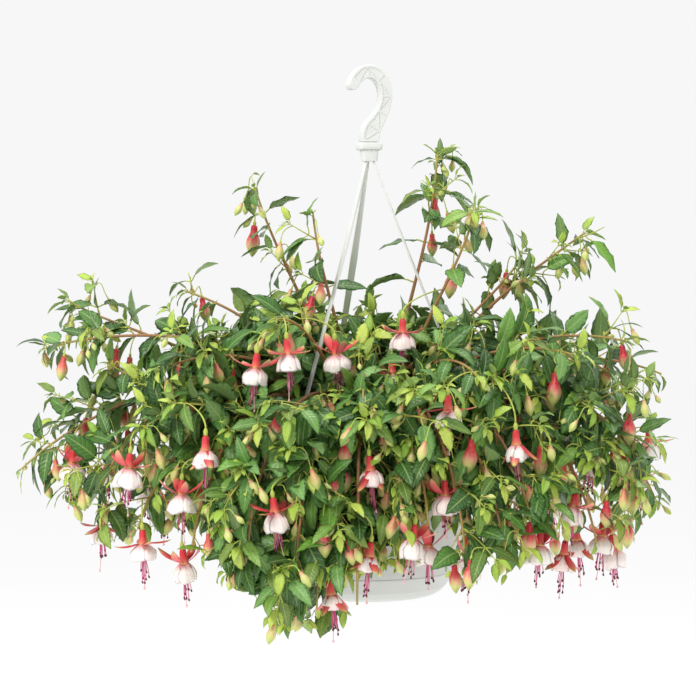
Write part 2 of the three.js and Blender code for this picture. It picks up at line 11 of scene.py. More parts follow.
import bpy
import numpy as np
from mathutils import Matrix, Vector


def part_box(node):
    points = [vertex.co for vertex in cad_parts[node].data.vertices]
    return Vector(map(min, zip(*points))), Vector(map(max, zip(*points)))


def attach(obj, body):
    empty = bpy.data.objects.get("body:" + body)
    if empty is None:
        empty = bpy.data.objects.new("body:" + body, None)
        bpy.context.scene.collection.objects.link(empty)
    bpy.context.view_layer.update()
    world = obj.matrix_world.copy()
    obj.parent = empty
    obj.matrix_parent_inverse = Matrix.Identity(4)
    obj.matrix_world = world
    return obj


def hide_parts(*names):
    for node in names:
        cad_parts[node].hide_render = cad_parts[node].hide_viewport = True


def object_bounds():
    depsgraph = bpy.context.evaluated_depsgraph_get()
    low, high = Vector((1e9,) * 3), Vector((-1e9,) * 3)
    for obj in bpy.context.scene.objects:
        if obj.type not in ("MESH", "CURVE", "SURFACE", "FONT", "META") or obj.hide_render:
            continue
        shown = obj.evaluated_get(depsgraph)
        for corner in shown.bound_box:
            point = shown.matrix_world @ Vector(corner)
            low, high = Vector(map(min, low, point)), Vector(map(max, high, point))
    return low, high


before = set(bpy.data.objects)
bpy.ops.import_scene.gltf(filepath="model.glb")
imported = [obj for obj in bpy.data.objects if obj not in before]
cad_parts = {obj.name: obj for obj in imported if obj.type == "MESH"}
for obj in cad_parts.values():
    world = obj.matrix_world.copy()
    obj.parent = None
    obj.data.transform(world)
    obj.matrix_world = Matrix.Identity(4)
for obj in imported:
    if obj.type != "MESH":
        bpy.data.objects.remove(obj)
CAD_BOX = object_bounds()
MM = 0.001
UP = np.array([0.0, 0.0, 1.0])


# ------------------------------------------------------------------ sizes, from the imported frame
def node_box(name):
    """A CAD node's lowest and highest corner, in millimetres."""
    low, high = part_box(name)
    return np.array(low) / MM, np.array(high) / MM


POT_HIGH = node_box("pot")[1]
SAUCER_LOW, SAUCER_HIGH = node_box("drip_saucer")
COLLAR_LOW, COLLAR_HIGH = node_box("hanger_collar")
RIM_Z = POT_HIGH[2]
RIM_RADIUS = POT_HIGH[0]
BASE_Z = SAUCER_LOW[2]
SHOULDER_Z = SAUCER_HIGH[2]
SAUCER_RADIUS = SAUCER_HIGH[0]
NECK_BOTTOM = COLLAR_LOW[2]
COLLAR_TOP = COLLAR_HIGH[2]

GAP = 0.3
WALL = 2.0
LIP_HEIGHT = 9.0
LIP_OVERHANG = 4.0
SHOULDER_RADIUS = SAUCER_RADIUS + 2.0
FOOT_RADIUS = 72.0
SOIL_BELOW_RIM = 12.0
SOIL_DOME = 6.0
SOIL_Z = RIM_Z - SOIL_BELOW_RIM

HOOK_DEPTH = 16.0
HOOK_TURN = math.radians(18)
HOOK_BORDER = 2.4
HOOK_PANEL_DEPTH = 0.7
STRAP_AZIMUTHS = {"right": -9, "back": 111, "front": -129}
STRAP_TWISTS = {"right": 0, "back": 0, "front": 30}
STRAP_TOP_RADIUS = 5.2
CLIP_WIDTH = 12.0
CLIP_THICKNESS = 2.4
CLIP_DROP = 15.0

ROOT_RINGS = (84.0, 56.0, 30.0)
STEM_RADIUS = 2.9
STEM_TIP_RADIUS = 1.1


# ------------------------------------------------------------------ small vector helpers
def unit(vector):
    return vector / max(np.linalg.norm(vector), 1e-9)


def square_to(vector, axis):
    """The part of a vector that is square to an axis, as a unit vector."""
    rest = vector - axis * np.dot(vector, axis)
    if np.linalg.norm(rest) < 1e-3:
        rest = np.cross(axis, [0.83, 0.41, 0.37])
    return unit(rest)


def turned(vector, axis, angle):
    """A vector turned about a unit axis."""
    cosine, sine = math.cos(angle), math.sin(angle)
    return vector * cosine + np.cross(axis, vector) * sine + axis * np.dot(axis, vector) * (1 - cosine)


def smooth(low, high, value):
    """0 below low, 1 above high, and a soft step between them."""
    share = np.clip((value - low) / (high - low), 0, 1)
    return share * share * (3 - 2 * share)


# ------------------------------------------------------------------ meshes
POINT_VALUES = ("along", "across", "tone", "age", "under")


class Skin:
    """Gathers the parts of one mesh: points, faces, a value of each kind for each point."""

    def __init__(self):
        self.points, self.faces, self.slots, self.values = [], [], [], []
        self.count = 0

    def add(self, points, faces, slot=0, **values):
        points = np.asarray(points, float).reshape(-1, 3)
        columns = np.zeros((len(points), len(POINT_VALUES)))
        for name, value in values.items():
            columns[:, POINT_VALUES.index(name)] = value
        self.points.append(points)
        self.values.append(columns)
        self.faces += [[corner + self.count for corner in face] for face in faces]
        self.slots += [slot] * len(faces)
        self.count += len(points)

    def build(self, name, materials, slot):
        """The mesh as a piece of the object."""
        mesh = bpy.data.meshes.new(name)
        mesh.from_pydata(np.concatenate(self.points) * MM, [], self.faces)
        for material in materials:
            mesh.materials.append(material)
        mesh.polygons.foreach_set("material_index", self.slots)
        values = np.concatenate(self.values)
        for column, value_name in enumerate(POINT_VALUES):
            attribute = mesh.attributes.new(value_name, "FLOAT", "POINT")
            attribute.data.foreach_set("value", values[:, column].astype(np.float32))
        mesh.shade_smooth()
        mesh.update()
        piece = bpy.data.objects.new(name, mesh)
        bpy.context.scene.collection.objects.link(piece)
        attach(piece, "root")
        return piece


def modifier(piece, kind, **settings):
    made = piece.modifiers.new(kind.title(), kind)
    for name, value in settings.items():
        setattr(made, name, value)


def rounded(piece, width_mm, segments=2, degrees=35):
    """Rounds a hard-edged piece and keeps its flat faces flat."""
    modifier(
        piece, "BEVEL", width=width_mm * MM, segments=segments, limit_method="ANGLE",
        angle_limit=math.radians(degrees), harden_normals=True,
    )


_shell_faces = {}


def shell_faces(rows, columns):
    """Faces of a closed thin shell whose two skins share their outline."""
    if (rows, columns) in _shell_faces:
        return _shell_faces[rows, columns]

    def top(row, column):
        return row * columns + column

    def under(row, column):
        if 0 < row < rows - 1 and 0 < column < columns - 1:
            return rows * columns + (row - 1) * (columns - 2) + column - 1
        return top(row, column)

    faces = []
    for row in range(rows - 1):
        for column in range(columns - 1):
            corners = [(row, column), (row + 1, column), (row + 1, column + 1), (row, column + 1)]
            faces.append([top(*corner) for corner in corners])
            faces.append([under(*corner) for corner in reversed(corners)])
    _shell_faces[rows, columns] = faces
    return faces


def add_shell(skin, grid, thickness, slot, **values):
    """A thin closed sheet from a grid of points: rows run along it, columns across it."""
    rows, columns = grid.shape[:2]
    normals = np.cross(np.gradient(grid, axis=0), np.gradient(grid, axis=1))
    normals /= np.maximum(np.linalg.norm(normals, axis=2, keepdims=True), 1e-9)
    inner = (grid - normals * thickness)[1:-1, 1:-1]
    along, across = np.meshgrid(
        np.linspace(0, 1, rows), np.linspace(-1, 1, columns), indexing="ij"
    )
    both = {"along": along, "across": across}
    for name, layer in both.items():
        both[name] = np.concatenate([layer.ravel(), layer[1:-1, 1:-1].ravel()])
    under = np.zeros(rows * columns + inner.shape[0] * inner.shape[1])
    under[rows * columns:] = 1
    points = np.concatenate([grid.reshape(-1, 3), inner.reshape(-1, 3)])
    skin.add(points, shell_faces(rows, columns), slot, under=under, **both, **values)


def neighbours(count):
    """Each corner of a ring with the corner after it."""
    return [(corner, (corner + 1) % count) for corner in range(count)]


def ring_faces(rings, sides):
    """Faces between rings that have the same number of points."""
    return [
        [low + corner, low + after, low + after + sides, low + corner + sides]
        for low in range(0, (rings - 1) * sides, sides)
        for corner, after in neighbours(sides)
    ]


def closed_faces(rings, sides):
    """Faces of a body of rings whose points are followed by a point for each of its ends."""
    faces = ring_faces(rings, sides)
    start = rings * sides
    for corner, after in neighbours(sides):
        faces.append([start, after, corner])
        faces.append([start + 1, start - sides + corner, start - sides + after])
    return faces


def add_tube(skin, path, radii, sides, slot=0, ages=0.0, **values):
    """A round stem along a path, with closed ends."""
    path = np.asarray(path, float)
    count = len(path)
    tangents = np.gradient(path, axis=0)
    radii = np.broadcast_to(radii, count)
    angles = 2 * np.pi * np.arange(sides) / sides
    start = unit(tangents[0])
    side = square_to(UP if abs(start[2]) < 0.9 else np.array([1.0, 0, 0]), start)
    rings = []
    for centre, tangent, radius in zip(path, tangents, radii):
        tangent = unit(tangent)
        side = square_to(side, tangent)
        other = np.cross(tangent, side)
        ring = np.outer(np.cos(angles), side) + np.outer(np.sin(angles), other)
        rings.append(centre + radius * ring)
    ages = np.broadcast_to(ages, count)
    along = np.linspace(0, 1, count)
    skin.add(
        np.concatenate([*rings, path[:1], path[-1:]]), closed_faces(count, sides), slot,
        age=np.concatenate([np.repeat(ages, sides), ages[:1], ages[-1:]]),
        along=np.concatenate([np.repeat(along, sides), [0, 1]]), **values,
    )


def add_turned(skin, profile, sides, place, slot, axis=-UP, ridges=0.0, **values):
    """A closed turned body from (radius, distance along the axis) points, first and last on it."""
    side = square_to(np.array([1.0, 0.2, 0]), axis)
    other = np.cross(axis, side)
    angles = 2 * np.pi * np.arange(sides) / sides
    circle = np.outer(np.cos(angles), side) + np.outer(np.sin(angles), other)
    circle *= (1 + ridges * np.cos(4 * angles))[:, None]
    profile = np.asarray(profile, float)
    inner = profile[1:-1]
    rings = [place + axis * depth + radius * circle for radius, depth in inner]
    ends = [place + axis * profile[0][1], place + axis * profile[-1][1]]
    along = (profile[:, 1] - profile[0][1]) / (profile[-1][1] - profile[0][1])
    skin.add(
        np.concatenate([*rings, ends]), closed_faces(len(inner), sides), slot,
        along=np.concatenate([np.repeat(along[1:-1], sides), [along[0], along[-1]]]),
        across=np.concatenate([np.tile(np.cos(4 * angles), len(inner)), [0, 0]]),
        **values,
    )


# ------------------------------------------------------------------ materials
def srgb(red, green, blue):
    """A colour given as it looks on a screen, 0 to 255, as a linear colour."""
    parts = [channel / 255 for channel in (red, green, blue)]
    return tuple(
        part / 12.92 if part <= 0.04045 else ((part + 0.055) / 1.055) ** 2.4 for part in parts
    ) + (1.0,)


class Shader:
    """A Principled material whose colour and bump come from procedural nodes."""

    def __init__(self, name, **surface):
        self.material = bpy.data.materials.new(name)
        self.material.use_nodes = True
        self.tree = self.material.node_tree
        self.bsdf = self.tree.nodes["Principled BSDF"]
        for socket, value in surface.items():
            self.bsdf.inputs[socket.replace("_", " ")].default_value = value

    def node(self, kind, inputs=(), **settings):
        made = self.tree.nodes.new(kind)
        for name, value in settings.items():
            setattr(made, name, value)
        for socket, value in dict(inputs).items():
            self.feed(made.inputs[socket], value)
        return made

    def feed(self, socket, value):
        if isinstance(value, bpy.types.NodeSocket):
            self.tree.links.new(value, socket)
        else:
            socket.default_value = value

    def value(self, name):
        """A value that the mesh's points carry."""
        return self.node("ShaderNodeAttribute", attribute_name=name).outputs["Fac"]

    def math(self, operation, a, b=0.0):
        return self.node("ShaderNodeMath", {0: a, 1: b}, operation=operation).outputs[0]

    def times(self, a, b):
        return self.math("MULTIPLY", a, b)

    def minus(self, a, b):
        return self.math("SUBTRACT", a, b)

    def band(self, value, low, high, to_low=0.0, to_high=1.0):
        """A value between low and high, smoothly as one between to_low and to_high."""
        made = self.node(
            "ShaderNodeMapRange",
            {0: value, 1: low, 2: high, 3: to_low, 4: to_high},
            interpolation_type="SMOOTHSTEP",
        )
        return made.outputs[0]

    def mix(self, share, a, b):
        """Colour a where the share is 0, colour b where it is 1."""
        return self.node("ShaderNodeMix", {0: share, 6: a, 7: b}, data_type="RGBA").outputs[2]

    def noise(self, scale, detail=3.0, roughness=0.55, stretch=(1, 1, 1)):
        """Noise in the object's own space; scale is in features per metre."""
        place = self.node("ShaderNodeTexCoord").outputs["Object"]
        if stretch != (1, 1, 1):
            place = self.node(
                "ShaderNodeVectorMath", {0: place, 1: stretch}, operation="MULTIPLY"
            ).outputs[0]
        made = self.node(
            "ShaderNodeTexNoise",
            {"Vector": place, "Scale": scale, "Detail": detail, "Roughness": roughness},
        )
        return made.outputs["Fac"]

    def ramp(self, value, stops):
        """Colours that follow a value, from (value, colour) stops."""
        made = self.node("ShaderNodeValToRGB", {0: value})
        elements = made.color_ramp.elements
        while len(elements) < len(stops):
            elements.new(0.5)
        for element, (place, colour) in zip(elements, stops):
            element.position = place
            element.color = colour
        return made.outputs[0]

    def finish(self, colour, roughness, bump=None, bump_mm=0.1, bump_strength=0.5):
        self.feed(self.bsdf.inputs["Base Color"], colour)
        self.feed(self.bsdf.inputs["Roughness"], roughness)
        if bump is not None:
            made = self.node(
                "ShaderNodeBump",
                {"Height": bump, "Distance": bump_mm * MM, "Strength": bump_strength},
            )
            self.tree.links.new(made.outputs[0], self.bsdf.inputs["Normal"])
        return self.material


def leaf_veins(shader):
    """Where a leaf's midrib and side veins run (0 to 1), and its swell between the side veins."""
    across = shader.math("ABSOLUTE", shader.value("across"))
    along = shader.value("along")
    midrib = shader.band(across, 0.03, 0.11, 1.0, 0.0)
    slanted = shader.minus(along, shader.times(across, 0.2))
    saw = shader.math("FRACT", shader.times(slanted, 8.0))
    line = shader.math("ABSOLUTE", shader.minus(saw, 0.5))
    side = shader.band(line, 0.0, 0.09, 1.0, 0.0)
    side = shader.times(side, shader.band(across, 0.5, 1.0, 0.6, 0.0))
    return shader.math("MAXIMUM", midrib, side), line


def leaf_material():
    shader = Shader("fuchsia_leaf", Specular_IOR_Level=0.46)
    veins, pillow = leaf_veins(shader)
    age = shader.value("age")
    tone = shader.value("tone")
    blotch = shader.noise(90, detail=4)
    young = shader.mix(tone, srgb(204, 220, 92), srgb(148, 188, 54))
    # Mature greens by each leaf's random tone; the pale grey-green stop at 0.88 is a painted sheen, the
    # reflection of the bright surroundings put into the colour.
    mature_with_painted_sheen = shader.ramp(tone, [
        (0.0, srgb(45, 85, 32)),
        (0.4, srgb(64, 108, 42)),
        (0.7, srgb(86, 134, 54)),
        (0.88, srgb(114, 160, 84)),
        (1.0, srgb(106, 158, 46)),
    ])
    green = shader.mix(shader.band(age, 0.0, 0.32), young, mature_with_painted_sheen)
    green = shader.mix(shader.band(blotch, 0.4, 0.75, 0.0, 0.3), green, srgb(36, 70, 22))
    pale = shader.mix(shader.times(veins, 0.5), green, srgb(176, 198, 120))
    under = shader.mix(shader.times(veins, 0.5), srgb(136, 166, 104), srgb(182, 200, 138))
    colour = shader.mix(shader.times(shader.value("under"), 0.8), pale, under)
    height = shader.minus(shader.band(pillow, 0.0, 0.5), shader.times(veins, 0.6))
    roughness = shader.band(shader.noise(220), 0.3, 0.7, 0.3, 0.46)
    return shader.finish(colour, roughness, height, bump_mm=0.5, bump_strength=0.35)


def stem_material():
    shader = Shader("fuchsia_stem", Specular_IOR_Level=0.4)
    age = shader.value("age")
    streaks = shader.noise(260, detail=4, stretch=(1, 1, 0.25))
    green = shader.mix(streaks, srgb(198, 206, 100), srgb(160, 180, 74))
    brown = shader.mix(streaks, srgb(138, 98, 66), srgb(98, 70, 48))
    russet = shader.mix(streaks, srgb(178, 136, 86), srgb(148, 98, 66))
    colour = shader.mix(shader.band(age, 0.1, 0.5), green, russet)
    colour = shader.mix(shader.band(age, 0.5, 0.95), colour, brown)
    roughness = shader.band(streaks, 0.3, 0.7, 0.45, 0.65)
    return shader.finish(colour, roughness, streaks, bump_mm=0.25, bump_strength=0.4)


def calyx_material():
    """The flower's tube and sepals: crimson at the tube, coral, with greenish tips."""
    shader = Shader("fuchsia_calyx", Specular_IOR_Level=0.5, Sheen_Weight=0.15)
    along = shader.value("along")
    outer = shader.ramp(along, [
        (0.0, srgb(204, 30, 48)),
        (0.4, srgb(222, 58, 64)),
        (0.7, srgb(230, 110, 92)),
        (0.88, srgb(214, 184, 104)),
        (1.0, srgb(132, 162, 60)),
    ])
    inner = shader.ramp(along, [
        (0.0, srgb(214, 44, 60)),
        (0.55, srgb(232, 96, 92)),
        (0.85, srgb(236, 158, 126)),
        (1.0, srgb(190, 190, 110)),
    ])
    colour = shader.mix(shader.value("under"), outer, inner)
    streaks = shader.noise(500, detail=3)
    colour = shader.mix(shader.band(streaks, 0.5, 0.8, 0.0, 0.2), colour, srgb(240, 160, 148))
    shade = shader.times(shader.value("tone"), 0.25)
    colour = shader.mix(shade, colour, srgb(190, 24, 50))
    return shader.finish(colour, 0.42, streaks, bump_mm=0.15, bump_strength=0.3)


def corolla_material():
    """White petals with a pink flush and pink veins at their base."""
    shader = Shader(
        "fuchsia_corolla", Specular_IOR_Level=0.35, Sheen_Weight=0.2, Subsurface_Weight=0.1,
        Subsurface_Scale=0.002,
    )
    along = shader.value("along")
    across = shader.value("across")
    wobble = shader.times(shader.noise(240), 0.25)
    fan = shader.math("ADD", shader.times(across, 2.2), wobble)
    vein = shader.math("ABSOLUTE", shader.minus(shader.math("FRACT", fan), 0.5))
    vein = shader.band(vein, 0.0, 0.13, 1.0, 0.0)
    white = shader.mix(shader.value("tone"), srgb(250, 244, 238), srgb(252, 228, 222))
    flush = shader.mix(shader.band(along, 0.0, 0.4, 0.8, 0.0), white, srgb(230, 96, 108))
    fade = shader.band(along, 0.1, 0.85, 0.68, 0.06)
    colour = shader.mix(shader.times(vein, fade), flush, srgb(232, 130, 142))
    return shader.finish(colour, 0.5, vein, bump_mm=-0.2, bump_strength=0.3)


def stamen_material():
    shader = Shader("fuchsia_stamen", Specular_IOR_Level=0.4)
    tone = shader.value("tone")
    grain = shader.noise(900)
    filament = shader.mix(grain, srgb(206, 62, 128), srgb(226, 110, 156))
    anther = shader.mix(grain, srgb(74, 26, 44), srgb(112, 44, 62))
    style = shader.mix(grain, srgb(240, 200, 196), srgb(234, 170, 180))
    colour = shader.mix(shader.band(tone, 0.3, 0.4), filament, anther)
    colour = shader.mix(shader.band(tone, 0.7, 0.8), colour, style)
    return shader.finish(colour, 0.5, grain, bump_mm=0.1, bump_strength=0.3)


def bud_material():
    """Closed buds: crimson at the tube, yellow-green towards the point, ripe ones redder."""
    shader = Shader("fuchsia_bud", Specular_IOR_Level=0.5, Sheen_Weight=0.1)
    along = shader.value("along")
    ripe = shader.ramp(along, [
        (0.0, srgb(204, 24, 52)),
        (0.32, srgb(218, 40, 62)),
        (0.46, srgb(226, 92, 96)),
        (0.6, srgb(230, 166, 132)),
        (0.76, srgb(202, 202, 116)),
        (1.0, srgb(124, 148, 54)),
    ])
    green = shader.ramp(along, [
        (0.0, srgb(216, 140, 110)),
        (0.26, srgb(212, 208, 136)),
        (0.65, srgb(198, 210, 116)),
        (1.0, srgb(164, 188, 82)),
    ])
    colour = shader.mix(shader.band(shader.value("age"), 0.25, 0.75), green, ripe)
    rib = shader.band(shader.value("across"), -1.0, -0.2, 1.0, 0.0)
    low = shader.band(along, 0.3, 0.55)
    groove = shader.times(shader.times(rib, low), 0.7)
    colour = shader.mix(groove, colour, srgb(204, 200, 124))
    grain = shader.noise(600, detail=3)
    colour = shader.mix(shader.band(grain, 0.45, 0.8, 0.0, 0.3), colour, srgb(236, 206, 160))
    return shader.finish(colour, 0.4, grain, bump_mm=0.12, bump_strength=0.3)


def plastic_material(name, light, dark, roughness):
    """White injection-moulded plastic with a faint grain, handling marks and uneven gloss."""
    shader = Shader(name, Specular_IOR_Level=0.5, IOR=1.49)
    cloud = shader.noise(14, detail=3)
    marks = shader.noise(60, detail=6, roughness=0.7, stretch=(1, 1, 0.2))
    colour = shader.mix(shader.band(cloud, 0.3, 0.7), light, dark)
    colour = shader.mix(shader.band(marks, 0.6, 0.8, 0.0, 0.2), colour, srgb(188, 188, 182))
    gloss = shader.band(marks, 0.35, 0.75, roughness, roughness + 0.14)
    grain = shader.noise(420, detail=2)
    return shader.finish(colour, gloss, grain, bump_mm=0.05, bump_strength=0.15)


def compost_material():
    shader = Shader("compost", Specular_IOR_Level=0.3)
    crumbs = shader.noise(260, detail=6, roughness=0.7)
    colour = shader.ramp(crumbs, [
        (0.3, srgb(34, 24, 18)),
        (0.5, srgb(66, 48, 36)),
        (0.7, srgb(104, 80, 60)),
    ])
    return shader.finish(colour, 0.92, crumbs, bump_mm=2.0, bump_strength=0.9)


LEAF = leaf_material()
STEM = stem_material()
# The blooms' materials, by their place in the list.
CALYX, COROLLA, STAMEN, BUD, STALK = range(5)
BLOOM_MATERIALS = [calyx_material(), corolla_material(), stamen_material(), bud_material(), STEM]
HANGER_PLASTIC = plastic_material("hanger_plastic", srgb(224, 226, 222), srgb(215, 217, 213), 0.3)
# The pot's white plastic is coloured darker than the hanger's: painted shade for the foliage hanging
# over it.
POT_PLASTIC_WITH_PAINTED_SHADE = plastic_material("pot_plastic", srgb(202, 204, 199), srgb(193, 195, 190), 0.38)
COMPOST = compost_material()


# ------------------------------------------------------------------ pot, saucer, compost
ROUND = 120


def revolve(name, profile, material, slot, replaced, bevel_mm):
    """A turned body about Z from (radius, height) points that start and end on the axis."""
    skin = Skin()
    add_turned(skin, profile, ROUND, np.zeros(3), 0, axis=UP)
    piece = skin.build(name, [material], slot)
    rounded(piece, bevel_mm, segments=3, degrees=12)
    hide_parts(replaced)


def make_pot():
    """The pot and its saucer, each from the middle of its underside, outwards, up and back in."""
    inside = RIM_RADIUS - LIP_OVERHANG - WALL
    seat = BASE_Z + WALL + GAP
    lip = RIM_Z - LIP_HEIGHT
    revolve("pot_body", [
        (0, seat), (FOOT_RADIUS - 2, seat), (FOOT_RADIUS + 5, BASE_Z + 6),
        (SAUCER_RADIUS - 7.6, BASE_Z + 20.8), (SAUCER_RADIUS - 2.6, SHOULDER_Z),
        (SAUCER_RADIUS - 2.6, SHOULDER_Z + GAP), (SHOULDER_RADIUS - 0.3, SHOULDER_Z + 0.5),
        (SHOULDER_RADIUS, SHOULDER_Z + 1.2), (RIM_RADIUS - LIP_OVERHANG - 0.6, lip - 2),
        (RIM_RADIUS - LIP_OVERHANG, lip), (RIM_RADIUS - 0.6, lip), (RIM_RADIUS, lip + 1),
        (RIM_RADIUS, RIM_Z - 1.5), (RIM_RADIUS - 1.5, RIM_Z), (inside + 1.5, RIM_Z),
        (inside, RIM_Z - 1.5), (inside - 1, lip), (SHOULDER_RADIUS - WALL, SHOULDER_Z + 3),
        (SAUCER_RADIUS - 9.6, BASE_Z + 21.5), (FOOT_RADIUS + 3, BASE_Z + 8),
        (FOOT_RADIUS - 4, seat + WALL), (0, seat + WALL),
    ], POT_PLASTIC_WITH_PAINTED_SHADE, "pot_plastic", "pot", 0.5)
    revolve("pot_saucer", [
        (0, BASE_Z + 1.2), (FOOT_RADIUS - 6, BASE_Z + 1.2), (FOOT_RADIUS - 5, BASE_Z),
        (FOOT_RADIUS, BASE_Z), (FOOT_RADIUS + 5, BASE_Z + 1.4), (FOOT_RADIUS + 10, BASE_Z + 4.6),
        (FOOT_RADIUS + 16, BASE_Z + 11), (SAUCER_RADIUS - 4.6, BASE_Z + 19),
        (SAUCER_RADIUS, SHOULDER_Z - 1.5), (SAUCER_RADIUS, SHOULDER_Z),
        (SAUCER_RADIUS - WALL, SHOULDER_Z), (SAUCER_RADIUS - 7, BASE_Z + 20.3),
        (FOOT_RADIUS + 6, BASE_Z + 5.6), (FOOT_RADIUS - 1, BASE_Z + WALL), (0, BASE_Z + WALL),
    ], POT_PLASTIC_WITH_PAINTED_SHADE, "pot_plastic", "drip_saucer", 0.4)


def make_compost():
    """Lumpy compost, a little higher round the stems, with loose crumbs on top."""
    rng = random.Random(11)
    edge = RIM_RADIUS - LIP_OVERHANG - WALL - 4.0
    skin = Skin()
    rings, sides = 26, 90
    heights = np.array([rng.uniform(-1, 1) for _ in range(rings * sides)]).reshape(rings, sides)
    lumps = heights * 1.1 + np.roll(heights, 1, 1) * 0.8 + np.roll(heights, 1, 0) * 0.6
    points = []
    for ring in range(rings):
        share = (ring + 1) / rings
        for corner in range(sides):
            angle = 2 * math.pi * corner / sides
            lump = lumps[ring, corner] if ring < rings - 1 else 0.0
            height = SOIL_Z + SOIL_DOME * (1 - share * share) + lump
            points.append([edge * share * math.cos(angle), edge * share * math.sin(angle), height])
    bottom = SOIL_Z - 14
    for corner in range(sides):
        angle = 2 * math.pi * corner / sides
        points.append([(edge - 4) * math.cos(angle), (edge - 4) * math.sin(angle), bottom])
    points += [[0, 0, SOIL_Z + SOIL_DOME], [0, 0, bottom]]
    faces = closed_faces(rings + 1, sides)
    skin.add(points, [[first, *others[::-1]] for first, *others in faces])
    for _ in range(420):
        radius = edge * math.sqrt(rng.random()) * 0.97
        angle = rng.uniform(0, 2 * math.pi)
        size = rng.uniform(0.8, 3.2)
        lift = SOIL_Z + SOIL_DOME * (1 - (radius / edge) ** 2) + rng.uniform(0, 1.2)
        place = np.array([radius * math.cos(angle), radius * math.sin(angle), lift])
        axis = unit(np.array([rng.uniform(-1, 1), rng.uniform(-1, 1), rng.uniform(-0.4, 0.4)]))
        add_turned(
            skin,
            [(0, -size), (size * 0.6, -size * 0.4), (size * 0.7, size * 0.3), (0, size)],
            5, place, 0, axis=axis, tone=rng.random(),
        )
    piece = skin.build("compost_top", [COMPOST], "compost")
    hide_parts("root_ball")


# ------------------------------------------------------------------ hanger
# Hook centre line in its own plane: across, height, half width.
HOOK_LINE = [
    (0, COLLAR_TOP + GAP, 9.2), (0, -64, 10.4), (2.2, -56, 9.8), (7.5, -48, 8.2), (13, -38.5, 7),
    (17, -28, 6.6), (18.4, -17.5, 6.6), (15.5, -5, 6.8), (8.5, 4, 7), (0, 7.4, 7.4),
    (-9, 5.5, 7.2), (-16.5, -1.5, 6.4), (-20, -7.8, 5.7),
]


def curve_through(points, count):
    """Evenly counted places on a Catmull-Rom curve through the points."""
    points = np.asarray(points, float)
    padded = np.vstack([2 * points[0] - points[1], points, 2 * points[-1] - points[-2]])
    places = []
    for share in np.linspace(0, len(points) - 1 - 1e-9, count):
        step = int(share)
        t = share - step
        a, b, c, d = padded[step:step + 4]
        places.append(0.5 * (
            2 * b + (c - a) * t + (2 * a - 5 * b + 4 * c - d) * t * t
            + (3 * b - a - 3 * c + d) * t ** 3
        ))
    return np.array(places)


def extruded(outline, depth, middle=0.0):
    """Points and faces of an outline (across, height) given a depth, centred at y = middle."""
    outline = np.asarray(outline, float)
    count = len(outline)
    points = [
        [across, middle + side * depth / 2, height]
        for side in (-1, 1) for across, height in outline
    ]
    faces = [list(range(count)), list(range(2 * count - 1, count - 1, -1))]
    for corner, after in neighbours(count):
        faces.append([after, corner, corner + count, after + count])
    return np.array(points), faces


def turn_about_axis(points, angle):
    """Points turned about the pot's axis."""
    cosine, sine = math.cos(angle), math.sin(angle)
    return np.asarray(points) @ np.array([[cosine, sine, 0], [-sine, cosine, 0], [0, 0, 1]])


def inset(corners, distance):
    """A polygon's corners moved towards its middle."""
    corners = np.asarray(corners)
    middle = corners.mean(axis=0)
    reach = np.linalg.norm(corners - middle, axis=1, keepdims=True)
    return middle + (corners - middle) * (1 - distance / reach)


def make_hook():
    """The hook: an outline of even depth round its centre line, with sunk panels."""
    stations = curve_through(HOOK_LINE, 61)
    centre, half = stations[:, :2], stations[:, 2:]
    ahead = np.gradient(centre, axis=0)
    ahead[0] = (0, 1)
    ahead /= np.linalg.norm(ahead, axis=1, keepdims=True)
    left = np.stack([-ahead[:, 1], ahead[:, 0]], axis=1)
    tip = [
        centre[-1] + half[-1] * (left[-1] * math.sin(angle) + ahead[-1] * math.cos(angle))
        for angle in np.radians(np.linspace(-75, 75, 9))
    ]
    outline = [*(centre - left * half), *tip, *(centre + left * half)[::-1]]
    skin = Skin()
    points, faces = extruded(outline, HOOK_DEPTH)
    skin.add(turn_about_axis(points, HOOK_TURN), faces)
    hook = skin.build("hook", [HANGER_PLASTIC], "hanger_plastic")
    rounded(hook, 1.5, segments=4)
    apply_modifiers(hook)

    # Sunk three-cornered panels between a border, cross ribs and slanted ribs.
    cutter = Skin()
    cell = 9
    for number, low in enumerate(range(2, len(centre) - cell, cell)):
        rows = range(low, low + cell + 1)
        right_side = [centre[row] - left[row] * (half[row] - HOOK_BORDER) for row in rows]
        left_side = [centre[row] + left[row] * (half[row] - HOOK_BORDER) for row in rows]
        if number % 2:
            triangles = [right_side + [left_side[-1]], left_side[::-1] + [right_side[0]]]
        else:
            triangles = [right_side + [left_side[0]], left_side[::-1] + [right_side[-1]]]
        for triangle in triangles:
            for side in (-1, 1):
                points, faces = extruded(
                    inset(triangle, 1.0), HOOK_PANEL_DEPTH * 2, side * HOOK_DEPTH / 2
                )
                cutter.add(turn_about_axis(points, HOOK_TURN), faces)
    tool = cutter.build("hook_panels", [HANGER_PLASTIC], "hanger_plastic")
    modifier(hook, "BOOLEAN", object=tool, operation="DIFFERENCE", solver="EXACT")
    apply_modifiers(hook)
    bpy.data.objects.remove(tool)
    rounded(hook, 0.3)
    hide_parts("hanger_hook")


def apply_modifiers(piece):
    """Puts what a piece's modifiers make into its own mesh."""
    depsgraph = bpy.context.evaluated_depsgraph_get()
    mesh = bpy.data.meshes.new_from_object(piece.evaluated_get(depsgraph))
    piece.modifiers.clear()
    piece.data = mesh


def rounded_rectangle(across, deep, height, corner):
    """A level ring of points with rounded corners, each of five points."""
    points = []
    for quarter in range(4):
        for step in range(5):
            angle = math.radians(90 * (quarter + step / 4))
            sign_x = 1 if quarter in (0, 3) else -1
            sign_y = 1 if quarter in (0, 1) else -1
            points.append([
                sign_x * (across / 2 - corner) + corner * math.cos(angle),
                sign_y * (deep / 2 - corner) + corner * math.sin(angle),
                height,
            ])
    return np.array(points)


